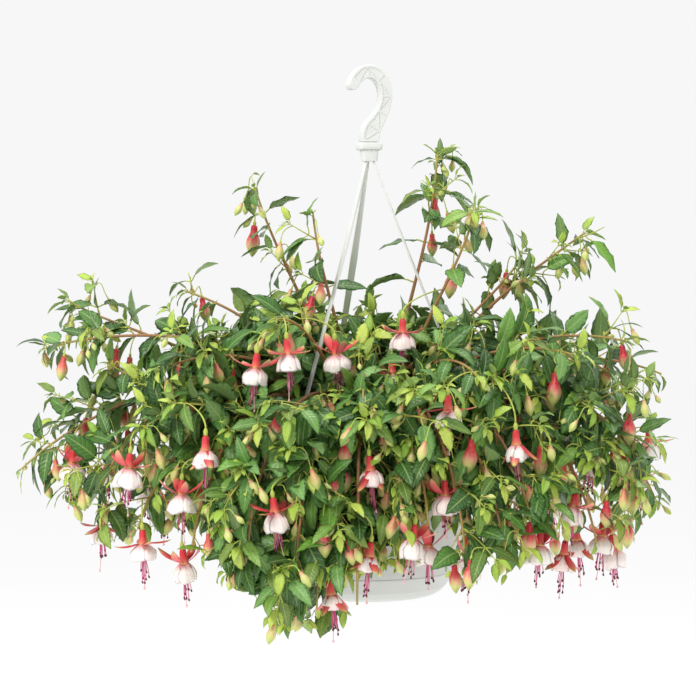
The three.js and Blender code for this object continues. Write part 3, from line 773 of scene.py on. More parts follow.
def add_loft(skin, rings):
    """A closed skin over rings with the same number of points, from the bottom up."""
    count = len(rings[0])
    last = (len(rings) - 1) * count
    ends = [list(range(count))[::-1], list(range(last, last + count))]
    skin.add(np.concatenate(rings), [ends[0], *ring_faces(len(rings), count), ends[1]])


def make_collar():
    """The rectangular collar and the tapered neck under it."""
    across, deep = 27.0, 20.0
    bottom = COLLAR_TOP - 9
    skin = Skin()
    add_loft(skin, [
        rounded_rectangle(17, 14, NECK_BOTTOM, 2.5),
        rounded_rectangle(17.4, 14.2, NECK_BOTTOM + 5, 2.5),
        rounded_rectangle(19, 15, bottom, 2.8),
        rounded_rectangle(across - 4, deep - 4, bottom + 0.1, 3),
        rounded_rectangle(across - 1, deep - 1, bottom + 1.2, 3.4),
        rounded_rectangle(across, deep, bottom + 3, 3.6),
        rounded_rectangle(across, deep, COLLAR_TOP - 3, 3.6),
        rounded_rectangle(across - 1.2, deep - 1.2, COLLAR_TOP - 1, 3.4),
        rounded_rectangle(across - 4.5, deep - 4.5, COLLAR_TOP, 3),
    ])
    skin.points = [turn_about_axis(points, HOOK_TURN) for points in skin.points]
    collar = skin.build("collar", [HANGER_PLASTIC], "hanger_plastic")
    rounded(collar, 0.3)
    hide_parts("hanger_collar")


# Along a strap from the neck (0) to the rim (1): share, width, thickness.
STRAP_SECTIONS = [
    (0, 4.4, 2.6), (0.15, 5.5, 2.4), (0.35, 8.6, 2.2), (0.55, 7, 2.2), (0.8, 5.4, 2.4), (1, 6, 2.4),
]


def bezier(controls, count):
    t = np.linspace(0, 1, count)[:, None]
    a, b, c, d = [np.asarray(point, float) for point in controls]
    return (1 - t) ** 3 * a + 3 * t * (1 - t) ** 2 * b + 3 * t * t * (1 - t) * c + t ** 3 * d


def even_steps(path, count):
    """A path's places at equal distances along it."""
    lengths = np.concatenate([[0], np.cumsum(np.linalg.norm(np.diff(path, axis=0), axis=1))])
    wanted = np.linspace(0, lengths[-1], count)
    return np.stack([np.interp(wanted, lengths, path[:, k]) for k in range(3)], axis=1)


def strap_line():
    """A strap's centre line in the plane of its own azimuth."""
    rim_top = RIM_Z + GAP
    return bezier([
        (STRAP_TOP_RADIUS, 0, NECK_BOTTOM - GAP),
        (STRAP_TOP_RADIUS + 30, 0, NECK_BOTTOM - 84),
        (RIM_RADIUS - 40, 0, rim_top + 90),
        (RIM_RADIUS - 1, 0, rim_top + CLIP_THICKNESS / 2),
    ], 200)


def make_strap(side, azimuth):
    """A strap and the clip at its end that grips the pot's rim."""
    steps = 60
    line = even_steps(strap_line(), steps)
    tangents = np.gradient(line, axis=0)
    shares, widths, depths = np.array(STRAP_SECTIONS).T
    rings = []
    for number, (centre, tangent) in enumerate(zip(line, tangents)):
        share = number / (steps - 1)
        width = np.interp(share, shares, widths)
        depth = np.interp(share, shares, depths)
        if number == 0:
            tangent = -UP
        twist = math.radians(STRAP_TWISTS[side]) * math.sin(math.pi * share)
        flat = turned(unit(np.array([-tangent[2], 0, tangent[0]])), unit(tangent), twist)
        along_rim = turned(np.array([0.0, 1.0, 0.0]), unit(tangent), twist)
        section = [(-1, -1), (-0.62, -0.72), (0.62, -0.72), (1, -1), (1, 1), (-1, 1)]
        rings.append(np.array([
            centre + along_rim * (v * width / 2) + flat * (w * depth / 2) for v, w in section
        ]))
    skin = Skin()
    add_loft(skin, rings)
    top = RIM_Z + GAP
    outer = RIM_RADIUS + GAP
    under = RIM_Z - LIP_HEIGHT - GAP
    outline = [
        (RIM_RADIUS - 8, top + CLIP_THICKNESS), (outer + 1.4, top + CLIP_THICKNESS),
        (outer + CLIP_THICKNESS, top + 1.2), (outer + CLIP_THICKNESS, RIM_Z - CLIP_DROP),
        (outer, RIM_Z - CLIP_DROP), (RIM_RADIUS - 2.5, under), (outer, under), (outer, top),
        (RIM_RADIUS - 8, top),
    ]
    points, faces = extruded(outline, CLIP_WIDTH)
    skin.add(points, faces)
    skin.points = [turn_about_axis(points, math.radians(azimuth)) for points in skin.points]
    strap = skin.build(f"strap_{side}", [HANGER_PLASTIC], "hanger_plastic")
    rounded(strap, 0.35, degrees=25)
    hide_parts(f"hanger_strap_{side}")


# ------------------------------------------------------------------ main stems
# The distance between two places on a stem's line.
STEP = 1.5

# Each shoot leaves the compost near `root` (degrees round the pot), climbs `lift`, and bends
# over to its tip. `lean` is how far out its last bend is, as a share of the way, and `hang` is
# that bend's height above the tip: below zero for a shoot that still climbs at its end.
SHOOTS = [
    # name, root, ring, tip x, y, z, lift, lean, hang
    ("right_low", -16, 0, (312, -75, -462), 120, 0.8, 120),
    ("right_outer", 2, 2, (328, -2, -330), 100, 0.7, 40),
    ("right_upper", -28, 1, (280, -60, -290), 110, 0.65, 20),
    ("right_upright", 14, 1, (245, 35, -172), 120, 0.6, -55),
    ("right_back", 26, 0, (290, 120, -345), 110, 0.75, 60),
    ("right_front_low", -35, 0, (240, -150, -500), 130, 0.85, 150),
    ("right_front_outer", -40, 2, (292, -140, -425), 150, 0.8, 110),
    ("right_front_upper", -50, 1, (215, -145, -300), 100, 0.65, 20),
    ("front_right_low", -50, 0, (172, -205, -505), 120, 0.88, 150),
    ("front_right_hanging", -74, 2, (98, -225, -512), 140, 0.9, 160),
    ("front_right_upper", -62, 1, (112, -175, -322), 90, 0.65, 40),
    ("front_low", -86, 0, (32, -215, -470), 100, 0.88, 130),
    ("front_middle", -97, 2, (-8, -190, -350), 90, 0.7, 60),
    ("front_left_low", -106, 0, (-78, -222, -558), 130, 0.95, 190),
    ("front_left_upper", -116, 1, (-100, -168, -262), 90, 0.65, 10),
    ("front_left_hanging", -139, 0, (-190, -185, -530), 130, 0.9, 170),
    ("left_front_low", -150, 2, (-252, -150, -505), 160, 0.85, 150),
    ("left_front_upper", -156, 1, (-225, -130, -318), 110, 0.65, 30),
    ("left_front_outer", -163, 0, (-290, -110, -448), 130, 0.8, 120),
    ("left_low", -171, 1, (-384, -45, -432), 150, 0.75, 80),
    ("left_outer", -178, 2, (-360, -18, -300), 130, 0.7, 30),
    ("left_rising", 163, 0, (-345, 62, -250), 90, 0.75, -40),
    ("left_upper", 173, 1, (-206, 22, -238), 110, 0.6, -20),
    ("left_upright", 157, 2, (-128, 20, -122), 110, 0.72, -95),
    ("middle_left_upright", -122, 2, (-62, -28, -152), 120, 0.8, -90),
    ("middle_right_upright", 45, 2, (77, 16, -84), 130, 0.85, -130),
    ("middle_front_upright", -20, 2, (114, -52, -155), 110, 0.7, -85),
    ("middle_back_upright", 33, 1, (170, 58, -208), 110, 0.65, -60),
    ("back_right_low", 50, 0, (228, 195, -440), 120, 0.8, 120),
    ("back_right_upper", 66, 1, (95, 165, -285), 100, 0.65, 10),
    ("back_low", 80, 0, (92, 268, -448), 110, 0.8, 120),
    ("back_left_upper", 128, 1, (-140, 155, -275), 100, 0.65, 10),
    ("back_left_low", 103, 0, (-75, 275, -420), 110, 0.8, 110),
    ("back_left_outer", 140, 0, (-215, 222, -450), 120, 0.8, 120),
]


# More stems for the same shoots where the foliage is thickest: they hang round the pot.
HANGING_STEMS = [
    ("right_back", 20, 1, (232, 80, -470), 110, 0.88, 140),
    ("back_right_low", 40, 1, (190, 130, -508), 110, 0.9, 150),
    ("back_right_low", 58, 1, (150, 205, -486), 120, 0.88, 150),
    ("back_right_low", 46, 2, (150, 130, -430), 90, 0.85, 110),
    ("back_low", 72, 1, (52, 212, -515), 110, 0.9, 150),
    ("back_low", 88, 2, (15, 175, -440), 90, 0.85, 110),
    ("back_left_low", 97, 1, (-28, 215, -512), 110, 0.9, 150),
    ("back_left_low", 114, 1, (-100, 205, -505), 110, 0.9, 150),
    ("back_left_outer", 128, 2, (-110, 150, -430), 90, 0.85, 110),
    ("back_left_outer", 132, 1, (-155, 160, -508), 110, 0.9, 150),
    ("back_left_outer", 150, 1, (-205, 105, -490), 120, 0.88, 150),
    ("left_low", 172, 1, (-222, 30, -500), 120, 0.88, 150),
    ("front_left_low", -112, 1, (-128, -215, -515), 120, 0.93, 180),
    ("front_left_low", -98, 1, (-14, -228, -552), 120, 0.93, 190),
    ("front_left_low", -101, 2, (-56, -192, -562), 110, 0.93, 190),
    ("front_middle", -92, 1, (-12, -182, -498), 100, 0.9, 150),
    ("front_low", -80, 1, (62, -222, -512), 110, 0.9, 150),
    ("front_low", -84, 2, (30, -176, -520), 100, 0.92, 160),
    ("front_right_hanging", -66, 1, (140, -222, -520), 130, 0.9, 160),
    ("front_right_low", -58, 1, (118, -170, -512), 120, 0.9, 160),
    ("front_left_hanging", -124, 1, (-132, -165, -520), 120, 0.92, 170),
    ("front_left_upper", -110, 2, (-75, -160, -430), 90, 0.85, 110),
    ("front_right_upper", -60, 2, (90, -150, -420), 90, 0.85, 100),
]


def stem_line(row):
    """A shoot's main stem as places about a step apart."""
    _, root_degrees, ring, tip, lift, lean, hang = row
    angle = math.radians(root_degrees)
    radius = ROOT_RINGS[ring]
    end = np.array(tip, float)
    root = np.array([
        radius * math.cos(angle), radius * math.sin(angle), SOIL_Z + SOIL_DOME + STEM_RADIUS + GAP,
    ])
    first = root + (end - root) * 0.06
    first[2] = root[2] + lift
    second = root + (end - root) * lean
    second[2] = end[2] + hang
    path = bezier([root, first, second, end], 300)
    length = np.linalg.norm(np.diff(path, axis=0), axis=1).sum()
    return even_steps(path, int(length / STEP))


# ------------------------------------------------------------------ flowers
# Where the neck of each open flower hangs. The first sixteen are the CAD flowers.
FLOWERS = [
    (-198, -170, -496), (-240, -168, -476), (-197, -180, -422), (-252, -162, -396),
    (-171, -195, -374), (-118, -170, -290), (-88, -175, -275), (35, -120, -256),
    (80, -194, -332), (150, -196, -368), (76, -200, -420), (1, -215, -482),
    (46, -228, -462), (216, -170, -436), (177, -190, -474), (240, -120, -389),
    (-38, -122, -279), (-2, -205, -394), (-101, -232, -434), (60, -172, -478),
    (-44, -214, -522), (106, -196, -486), (208, -148, -490), (222, -98, -482),
    (250, -122, -474), (266, -62, -496), (300, 20, -428), (215, 150, -470),
    (150, 215, -478), (60, 262, -500), (-48, 262, -468), (-150, 225, -500),
    (-240, 160, -478), (-300, 70, -420), (176, 202, -372), (-110, 190, -350),
    (30, 225, -400), (-225, 90, -350), (120, 128, -318), (-322, -82, -400),
    (-300, -20, -478), (310, -40, -380), (24, -86, -302), (138, 92, -286),
    (110, 225, -425), (-10, 240, -450), (-100, 235, -432), (-175, 190, -440), (205, 110, -450),
    (175, 190, -455), (-172, 136, -390), (-42, 150, -338), (74, 138, -345), (-250, 40, -440),
]
CAD_FLOWERS = 16
# The room an open flower takes, from its neck down: its tube, its petals and its stamens.
FLOWER_TOP, TUBE_END, PETALS_END, STYLE_END = 4.0, -14.0, -52.0, -78.0
TUBE_REACH, PETAL_REACH, STAMEN_REACH = 7.0, 25.0, 9.0
LONGEST_STALK = 95.0


def in_flower(places):
    """True if any of the places is inside an open flower."""
    for neck in FLOWERS:
        offset = places - np.array(neck, float)
        wide, height = np.hypot(offset[:, 0], offset[:, 1]), offset[:, 2]
        reach = np.where(height < PETALS_END, STAMEN_REACH, PETAL_REACH)
        reach = np.where(height > TUBE_END, TUBE_REACH, reach)
        if np.any((wide < reach) & (height < FLOWER_TOP) & (height > STYLE_END)):
            return True
    return False


# ------------------------------------------------------------------ where the plant may grow
BOX_MARGIN = np.array([-8.0, 12.0, 18.0])
HANGER_ROOM = 7.0
STRAP_CLEAR_DOWN_TO = -338.0
STRAP_CLEARANCE = 6.0


def pot_radius(height):
    """The outside of the pot and saucer at a height, with a little room."""
    return np.interp(
        height,
        [BASE_Z - 3, BASE_Z, BASE_Z + 20, SHOULDER_Z, RIM_Z - LIP_HEIGHT, RIM_Z + 3],
        [0, FOOT_RADIUS, SAUCER_RADIUS - 4, SHOULDER_RADIUS, RIM_RADIUS, RIM_RADIUS],
    )


def in_pot(places, room):
    """True if any of the places is inside the pot's wall or under its compost."""
    wide = np.hypot(places[:, 0], places[:, 1])
    low = places[:, 2] < RIM_Z + 2
    inner = (wide < RIM_RADIUS - 12) & (places[:, 2] > SOIL_Z + 5)
    return bool(np.any(low & ~inner & (wide < pot_radius(places[:, 2]) + room)
                       & (places[:, 2] > BASE_Z - 4)))


HANGER_LINES = [
    turn_about_axis(even_steps(strap_line(), 60), math.radians(azimuth))
    for azimuth in STRAP_AZIMUTHS.values()
]


def at_hanger(places):
    """True if any of the places is against a strap, the neck or the hook."""
    for line in HANGER_LINES:
        distances = np.linalg.norm(places[:, None, :] - line[None, :, :], axis=2)
        if distances.min() < HANGER_ROOM:
            return True
    return bool(np.any((np.hypot(places[:, 0], places[:, 1]) < 30) & (places[:, 2] > NECK_BOTTOM)))


def outside(places):
    """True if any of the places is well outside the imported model's box."""
    low, high = np.array(CAD_BOX[0]) / MM - BOX_MARGIN, np.array(CAD_BOX[1]) / MM + BOX_MARGIN
    return bool(np.any((places < low) | (places > high)))


# The plant's lower edge: how low the foliage hangs at each place across it.
HEM = [
    (-340, -455), (-285, -488), (-190, -490), (-160, -526), (-135, -538), (-117, -550),
    (-107, -582), (-25, -582), (-4, -520), (70, -512), (90, -534), (126, -534), (160, -504),
    (285, -500), (310, -470),
]
HEM_FRONT = -150.0
HEM_SLOPE = 0.13
# Its upper edge: how high the leaves and twigs reach, give or take the spare.
CROWN_SPARE = 14.0
CROWN = [
    (-400, -380), (-385, -260), (-340, -230), (-195, -230), (-160, -145), (-116, -104),
    (-64, -136), (-27, -176), (12, -130), (60, -72), (98, -76), (135, -130), (175, -176),
    (225, -150), (262, -158), (290, -262), (345, -315),
]


def below_hem(places, spare):
    """True if any of the places is under the plant's lower edge, which drops to the back."""
    across, heights = np.array(HEM, float).T
    hem = np.interp(places[:, 0], across, heights) - HEM_SLOPE * (places[:, 1] - HEM_FRONT)
    return bool(np.any(places[:, 2] < hem - spare))


def above_crown(places):
    """True if any of the places is over the plant's upper edge."""
    across, heights = np.array(CROWN, float).T
    return bool(np.any(places[:, 2] > np.interp(places[:, 0], across, heights) + CROWN_SPARE))


def hides_strap(places):
    """True if any of the places is before the upper part of the front strap."""
    line = HANGER_LINES[-1]
    upper = line[line[:, 2] > STRAP_CLEAR_DOWN_TO]
    aside = np.abs(places[:, None, :] - upper[None, :, :])
    before = places[:, None, 1] < upper[None, :, 1]
    return bool(np.any((aside[..., 0] < STRAP_CLEARANCE) & (aside[..., 2] < STRAP_CLEARANCE) & before))


def blocked(places, room=3.0, below=16.0):
    """True where nothing may grow: `room` is kept to the pot, `below` is allowed under the hem."""
    return (
        outside(places) or below_hem(places, below) or above_crown(places)
        or in_pot(places, room) or in_flower(places) or at_hanger(places) or hides_strap(places)
    )


def room_at_ends(place):
    """How far a place is from the plant's left or right end, whichever is nearer."""
    return min(place[0] - CAD_BOX[0][0] / MM, CAD_BOX[1][0] / MM - place[0])


# ------------------------------------------------------------------ leaves
LEAF_THICKNESS = 0.35
LEAF_ROWS, LEAF_COLUMNS = 11, 5
LEAF_U = np.linspace(0, 1, LEAF_ROWS)
LEAF_OUTLINE = LEAF_U ** 0.62 * (1 - LEAF_U) ** 1.02
LEAF_OUTLINE /= LEAF_OUTLINE.max()
LEAF_TEETH = 1 + 0.05 * np.where((LEAF_U > 0.15) & (LEAF_U < 0.9), (-1.0) ** np.arange(LEAF_ROWS), 0)


def leaf_grid(rng, base, along, face, length, width):
    """A leaf's upper skin: folded along its midrib, arched down, with a wavy edge."""
    bend = rng.uniform(0.25, 1.15)
    fold = rng.uniform(0.12, 0.5)
    sway = rng.uniform(-0.10, 0.10)
    wave = rng.uniform(0.03, 0.14)
    phase = rng.uniform(0, 2 * math.pi)
    slope = bend * LEAF_U ** 1.3
    step = length / (LEAF_ROWS - 1)
    middle = (slope[1:] + slope[:-1]) / 2
    x = np.concatenate([[0], np.cumsum(np.cos(middle))]) * step
    z = -np.concatenate([[0], np.cumsum(np.sin(middle))]) * step
    half = np.maximum(width / 2 * LEAF_OUTLINE * LEAF_TEETH, 0.35)
    v = np.linspace(-1, 1, LEAF_COLUMNS)
    reach = np.abs(v)[None, :]
    rise = half[:, None] * (
        reach * math.sin(fold)
        + wave * np.sin(2 * math.pi * 2.2 * LEAF_U + phase)[:, None] * reach ** 2
        - 0.12 * reach ** 2
    )
    aside = half[:, None] * v[None, :] * math.cos(fold) + (length * sway * LEAF_U ** 2)[:, None]
    face = square_to(face, along)
    side = np.cross(face, along)
    tilt_x, tilt_z = np.sin(slope)[:, None], np.cos(slope)[:, None]
    return (
        base
        + (x[:, None] + rise * tilt_x)[..., None] * along
        + aside[..., None] * side
        + (z[:, None] + rise * tilt_z)[..., None] * face
    )


# How often a joint carries each of its two leaves, a bud, or a fork of a long twig.
LEAF_CHANCE, BUD_CHANCE, FORK_CHANCE = 0.93, 0.42, 0.4
# How often a main stem's joint carries each of its two twigs, up on the plant and down where the
# foliage is bushy, and the heights between which that changes.
TWIG_CHANCE, MORE_TWIGS = 0.32, 0.48
BUSHY_FROM, BUSHY_BELOW = -285.0, -370.0
# The middle of the plant shows bare wood: within these radii, and below these heights.
BARE_WITHIN, BAREST_WITHIN = 200.0, 120.0
BARE_FROM, BAREST_BELOW = -205.0, -240.0
FEWER_LEAVES, FEWER_TWIGS = 0.5, 0.22


class Shoot:
    """One shoot's three skins, and the places where a flower stalk may leave it."""

    def __init__(self, name, seed):
        self.name = name
        self.rng = random.Random(seed)
        self.stems, self.leaves, self.blooms = Skin(), Skin(), Skin()
        self.joints = []


def grow_leaf(shoot, place, outwards, tangent, size, age, droop):
    """One leaf on its stalk, if there is room for it."""
    rng = shoot.rng
    length = size * rng.uniform(0.82, 1.15)
    width = length * rng.uniform(0.42, 0.54)
    radial = unit(np.array([place[0], place[1], 1e-3]))
    along = unit(
        outwards * 0.85 + tangent * 0.4 - UP * (droop + rng.uniform(-0.15, 0.35)) + radial * 0.15
    )
    face = UP * 0.75 + radial * rng.uniform(0.2, 0.9) + np.array(
        [rng.uniform(-0.35, 0.35), rng.uniform(-0.35, 0.35), 0]
    )
    stalk = length * rng.uniform(0.14, 0.22)
    start = place + outwards * 0.6
    base = start + unit(along + UP * 0.35) * stalk
    grid = leaf_grid(rng, base, along, face, length, width)
    tone = rng.random()
    if blocked(grid[::3, ::2].reshape(-1, 3)):
        return
    add_shell(shoot.leaves, grid, LEAF_THICKNESS, 0, tone=tone, age=age)
    path = bezier([
        start, start + outwards * stalk * 0.4, base - along * stalk * 0.3,
        base + along * length * 0.05,
    ], 4)
    add_tube(shoot.stems, path, 0.35 + 0.011 * length, 5, ages=0.25 * age, tone=tone)


def at_joint(rng, line, joint, number, loose):
    """A joint's place, its stem's heading, and the way its leaves point: a quarter turn each."""
    at = min(int(joint / STEP), len(line) - 2)
    tangent = unit(line[at + 1] - line[at])
    turn = number * math.pi / 2 + rng.uniform(-loose, loose)
    return line[at], tangent, turned(square_to(UP, tangent), tangent, turn)


def grow_stem(shoot, line, start_radius, end_radius, start_age, end_age, sides=7):
    """A stem's skin, which gets thinner and younger towards its end."""
    path = line[::6] if len(line) > 24 else line[::3]
    if not np.allclose(path[-1], line[-1]):
        path = np.vstack([path, line[-1]])
    share = np.linspace(0, 1, len(path))
    radii = start_radius + (end_radius - start_radius) * share
    ages = start_age + (end_age - start_age) * share
    add_tube(shoot.stems, path, radii, sides, ages=ages)


def grow_twig(shoot, start, direction, length, age, depth=0):
    """A side twig: it bends towards the light, and carries pairs of leaves, buds and tips."""
    rng = shoot.rng
    place, heading = start.copy(), unit(direction)
    low = smooth(-300, -430, start[2])
    pull = rng.uniform(-0.004, 0.012) * (1 - low) + rng.uniform(-0.034, -0.004) * low
    swerve = np.array([rng.uniform(-1, 1), rng.uniform(-1, 1), 0]) * 0.006
    line = [place.copy()]
    end_room = rng.uniform(26, 66)
    for _ in range(int(length / STEP)):
        heading = unit(heading + UP * pull + swerve)
        place = place + heading * STEP
        if blocked(place[None, :], room=2.0, below=0.0) or room_at_ends(place) < end_room:
            break
        line.append(place.copy())
    if len(line) < 10:
        return
    line = np.array(line)
    length = STEP * (len(line) - 1)
    grow_stem(shoot, line, 0.55 + 0.009 * length, 0.5, 0.75 * age, 0.05, sides=6)
    joint = rng.uniform(10, 16)
    number = 0
    while joint < length - 2:
        share = joint / length
        place, tangent, across = at_joint(rng, line, joint, number, 0.3)
        leaf_age = age * (1 - 0.75 * share)
        size = (57 - 25 * share) * (0.66 + 0.42 * age)
        for side in (1, -1):
            if rng.random() < LEAF_CHANCE:
                grow_leaf(shoot, place, across * side, tangent, size, leaf_age, 0.3)
        shoot.joints.append(place)
        if depth == 0 and share < 0.6 and length > 70 and rng.random() < FORK_CHANCE:
            away = turned(across, tangent, rng.uniform(-0.4, 0.4)) * 0.7 + tangent * 0.7
            grow_twig(shoot, place, away, length * rng.uniform(0.35, 0.55), age * 0.8, 1)
        if share > 0.35 and rng.random() < BUD_CHANCE:
            grow_bud(shoot, place, across * rng.choice((1, -1)), share)
        joint += rng.uniform(21, 30) * (1 - 0.35 * share)
        number += 1
    grow_tip(shoot, line[-1], unit(line[-1] - line[-4]), age)


def grow_tip(shoot, place, tangent, age):
    """The young leaves at a growing point, and the smallest buds among them."""
    rng = shoot.rng
    for pair in range(2):
        across = turned(square_to(UP, tangent), tangent, pair * math.pi / 2 + rng.uniform(-0.4, 0.4))
        for side in (1, -1):
            size = rng.uniform(17, 26) if pair == 0 else rng.uniform(9, 15)
            outwards = unit(across * side * 0.85 + tangent * 0.4)
            grow_leaf(shoot, place - tangent * (2 - 2 * pair), outwards, tangent, size, 0.12 * age, 0.1)
    for _ in range(rng.choice((0, 1, 1, 2))):
        outwards = turned(square_to(UP, tangent), tangent, rng.uniform(0, 2 * math.pi))
        grow_bud(shoot, place - tangent * rng.uniform(0, 6), outwards, 1.5)


def grow_bud(shoot, place, outwards, share):
    """A closed bud that hangs on its stalk."""
    rng = shoot.rng
    ripe = min(rng.random() ** 0.95 * (1.35 - 0.6 * share), 1.0)
    size = 0.34 + 0.74 * ripe * rng.uniform(0.88, 1.08)
    outwards = unit(outwards * np.array([1, 1, 0.5]) + UP * 0.15)
    reach = rng.uniform(10, 22) * (0.6 + 0.5 * size)
    drop = rng.uniform(4, 30) * (0.25 + 0.85 * size)
    neck = place + outwards * reach - UP * drop
    axis = unit(-UP * (0.4 + 1.6 * ripe) + outwards * (0.7 - 0.6 * ripe)
                + np.array([rng.uniform(-0.2, 0.2), rng.uniform(-0.2, 0.2), 0]))
    if blocked(neck + axis * np.linspace(-4, 34 * size, 5)[:, None], room=8.0):
        return
    top = place + outwards * 0.8
    path = bezier([
        top, top + outwards * reach * 0.7 + UP * 3, neck - axis * (drop * 0.4 + 4), neck,
    ], 9)
    skin = shoot.blooms
    add_tube(skin, path, 0.55 + 0.12 * size, 5, STALK, ages=0.02 + 0.2 * ripe)
    add_turned(skin, [
        (0, -1), (1.0 * size, -0.4), (2.0 * size, 2.5 * size), (1.7 * size, 5.5 * size),
        (0, 6.5 * size),
    ], 8, neck, STALK, axis=axis, age=0.0)
    tone = rng.random()
    stretch = 0.4 + 0.6 * ripe
    tube = 9 * stretch
    body = [
        (0, 0), (3.1, 0.4), (3.5, 3.5 * stretch), (3.7, tube), (5.2, tube + 3.5), (6.9, tube + 8),
        (7.4, tube + 12), (6.6, tube + 16.5), (4.6, tube + 21), (2.4, tube + 24.5),
        (0.9, tube + 26.5), (0, tube + 27.2),
    ]
    body = [(radius * size, (5 + depth) * size) for radius, depth in body]
    add_turned(skin, body, 16, neck, BUD, axis=axis, ridges=0.09, age=ripe, tone=tone)


# ------------------------------------------------------------------ open flowers
# How far below the neck the sepals and the petals leave the tube, and their thicknesses.
SEPALS_START, PETALS_START = 20.5, 21.0
SEPAL_THICKNESS, PETAL_THICKNESS = 0.7, 0.3
# The rings of petals, outermost first: how many, how far inwards, how much shorter.
PETAL_RINGS = [(4, 0.0, 0), (4, -1.6, 1.5), (3, -4.0, 4)]


def sepal_grid(neck, turn, rise, curl, length, width, droop_frame):
    """One sepal that leaves the end of the tube outwards and curls upwards."""
    rows, columns = 10, 5
    u = np.linspace(0, 1, rows)
    slope = rise + curl * u ** 1.2
    step = length / (rows - 1)
    middle = (slope[1:] + slope[:-1]) / 2
    out = np.concatenate([[0], np.cumsum(np.cos(middle))]) * step
    lift = np.concatenate([[0], np.cumsum(np.sin(middle))]) * step
    outline = (0.42 + 1.6 * u ** 0.9) * (1 - u ** 1.7) ** 0.8
    outline /= outline.max()
    half = np.maximum(width / 2 * outline, 0.25)
    v = np.linspace(-1, 1, columns)
    side, forward, down = droop_frame
    outwards = side * math.cos(turn) + forward * math.sin(turn)
    across = -side * math.sin(turn) + forward * math.cos(turn)
    trough = -0.22 * half[:, None] * np.abs(v)[None, :] ** 1.5
    place_out = 4.2 + out[:, None] + trough * -np.sin(slope)[:, None]
    place_lift = lift[:, None] + trough * np.cos(slope)[:, None]
    return (
        neck + down * SEPALS_START
        + place_out[..., None] * outwards
        - place_lift[..., None] * down
        + (half[:, None] * v[None, :])[..., None] * across
    )


def petal_grid(rng, neck, turn, spread, length, flare, closing, layer, droop_frame):
    """One petal of the bell, wrapped round the flower's axis, with a ruffled edge."""
    rows, columns = 9, 9
    u = np.linspace(0, 1, rows)[:, None]
    v = np.linspace(-1, 1, columns)[None, :]
    radius = 3.6 + (flare - 3.6) * np.sin(np.minimum(u * 1.5, 1) * math.pi / 2)
    radius = radius - closing * flare * smooth(0.55, 1.0, u) + layer * smooth(0.0, 0.3, u)
    phase = rng.uniform(0, 6)
    ruffle = 0.9 * np.sin(2.2 * math.pi * v + phase) * u ** 2 + 0.4 * np.sin(4 * v + 2 * phase) * u
    radius = radius + ruffle + 0.9 * v * u
    angle = turn + v * spread * (0.5 + 0.5 * smooth(0.0, 0.5, u))
    depth = PETALS_START + length * u * (1 - 0.2 * v ** 2 * u) + 0.7 * np.sin(3 * v + phase) * u ** 2
    side, forward, down = droop_frame
    outwards = np.cos(angle)[..., None] * side + np.sin(angle)[..., None] * forward
    return neck + depth[..., None] * down + radius[..., None] * outwards


def add_stamens(skin, rng, neck, droop_frame, spread):
    """Eight stamens with their anthers, and the longer style with its stigma."""
    side, forward, down = droop_frame
    for number in range(8):
        turn = number * math.pi / 4 + rng.uniform(-0.3, 0.3)
        outwards = side * math.cos(turn) + forward * math.sin(turn)
        reach = rng.uniform(2.5, 6.5) * spread
        end = 49 + rng.uniform(0, 14)
        path = bezier([
            neck + down * 30, neck + down * 38 + outwards * 2,
            neck + down * (end - 7) + outwards * reach, neck + down * end + outwards * reach * 0.9,
        ], 7)
        add_tube(skin, path, 0.42, 4, STAMEN, tone=0.0)
        axis = unit(down + outwards * rng.uniform(-0.6, 0.6))
        add_turned(skin, [
            (0, -1.6), (0.8, -1.1), (1.05, 0.2), (0.8, 1.3), (0, 1.7),
        ], 7, path[-1], STAMEN, axis=axis, tone=0.5)
    end = rng.uniform(66, 74)
    aside = side * rng.uniform(-4, 4) + forward * rng.uniform(-4, 4)
    path = bezier([
        neck + down * 30, neck + down * 42, neck + down * (end - 8) + aside * 0.7,
        neck + down * end + aside,
    ], 9)
    add_tube(skin, path, 0.5, 5, STAMEN, tone=1.0)
    add_turned(skin, [
        (0, -1.4), (0.9, -0.9), (1.25, 0.3), (0.8, 1.6), (0, 2.1),
    ], 8, path[-1], STAMEN, axis=down, tone=1.0)


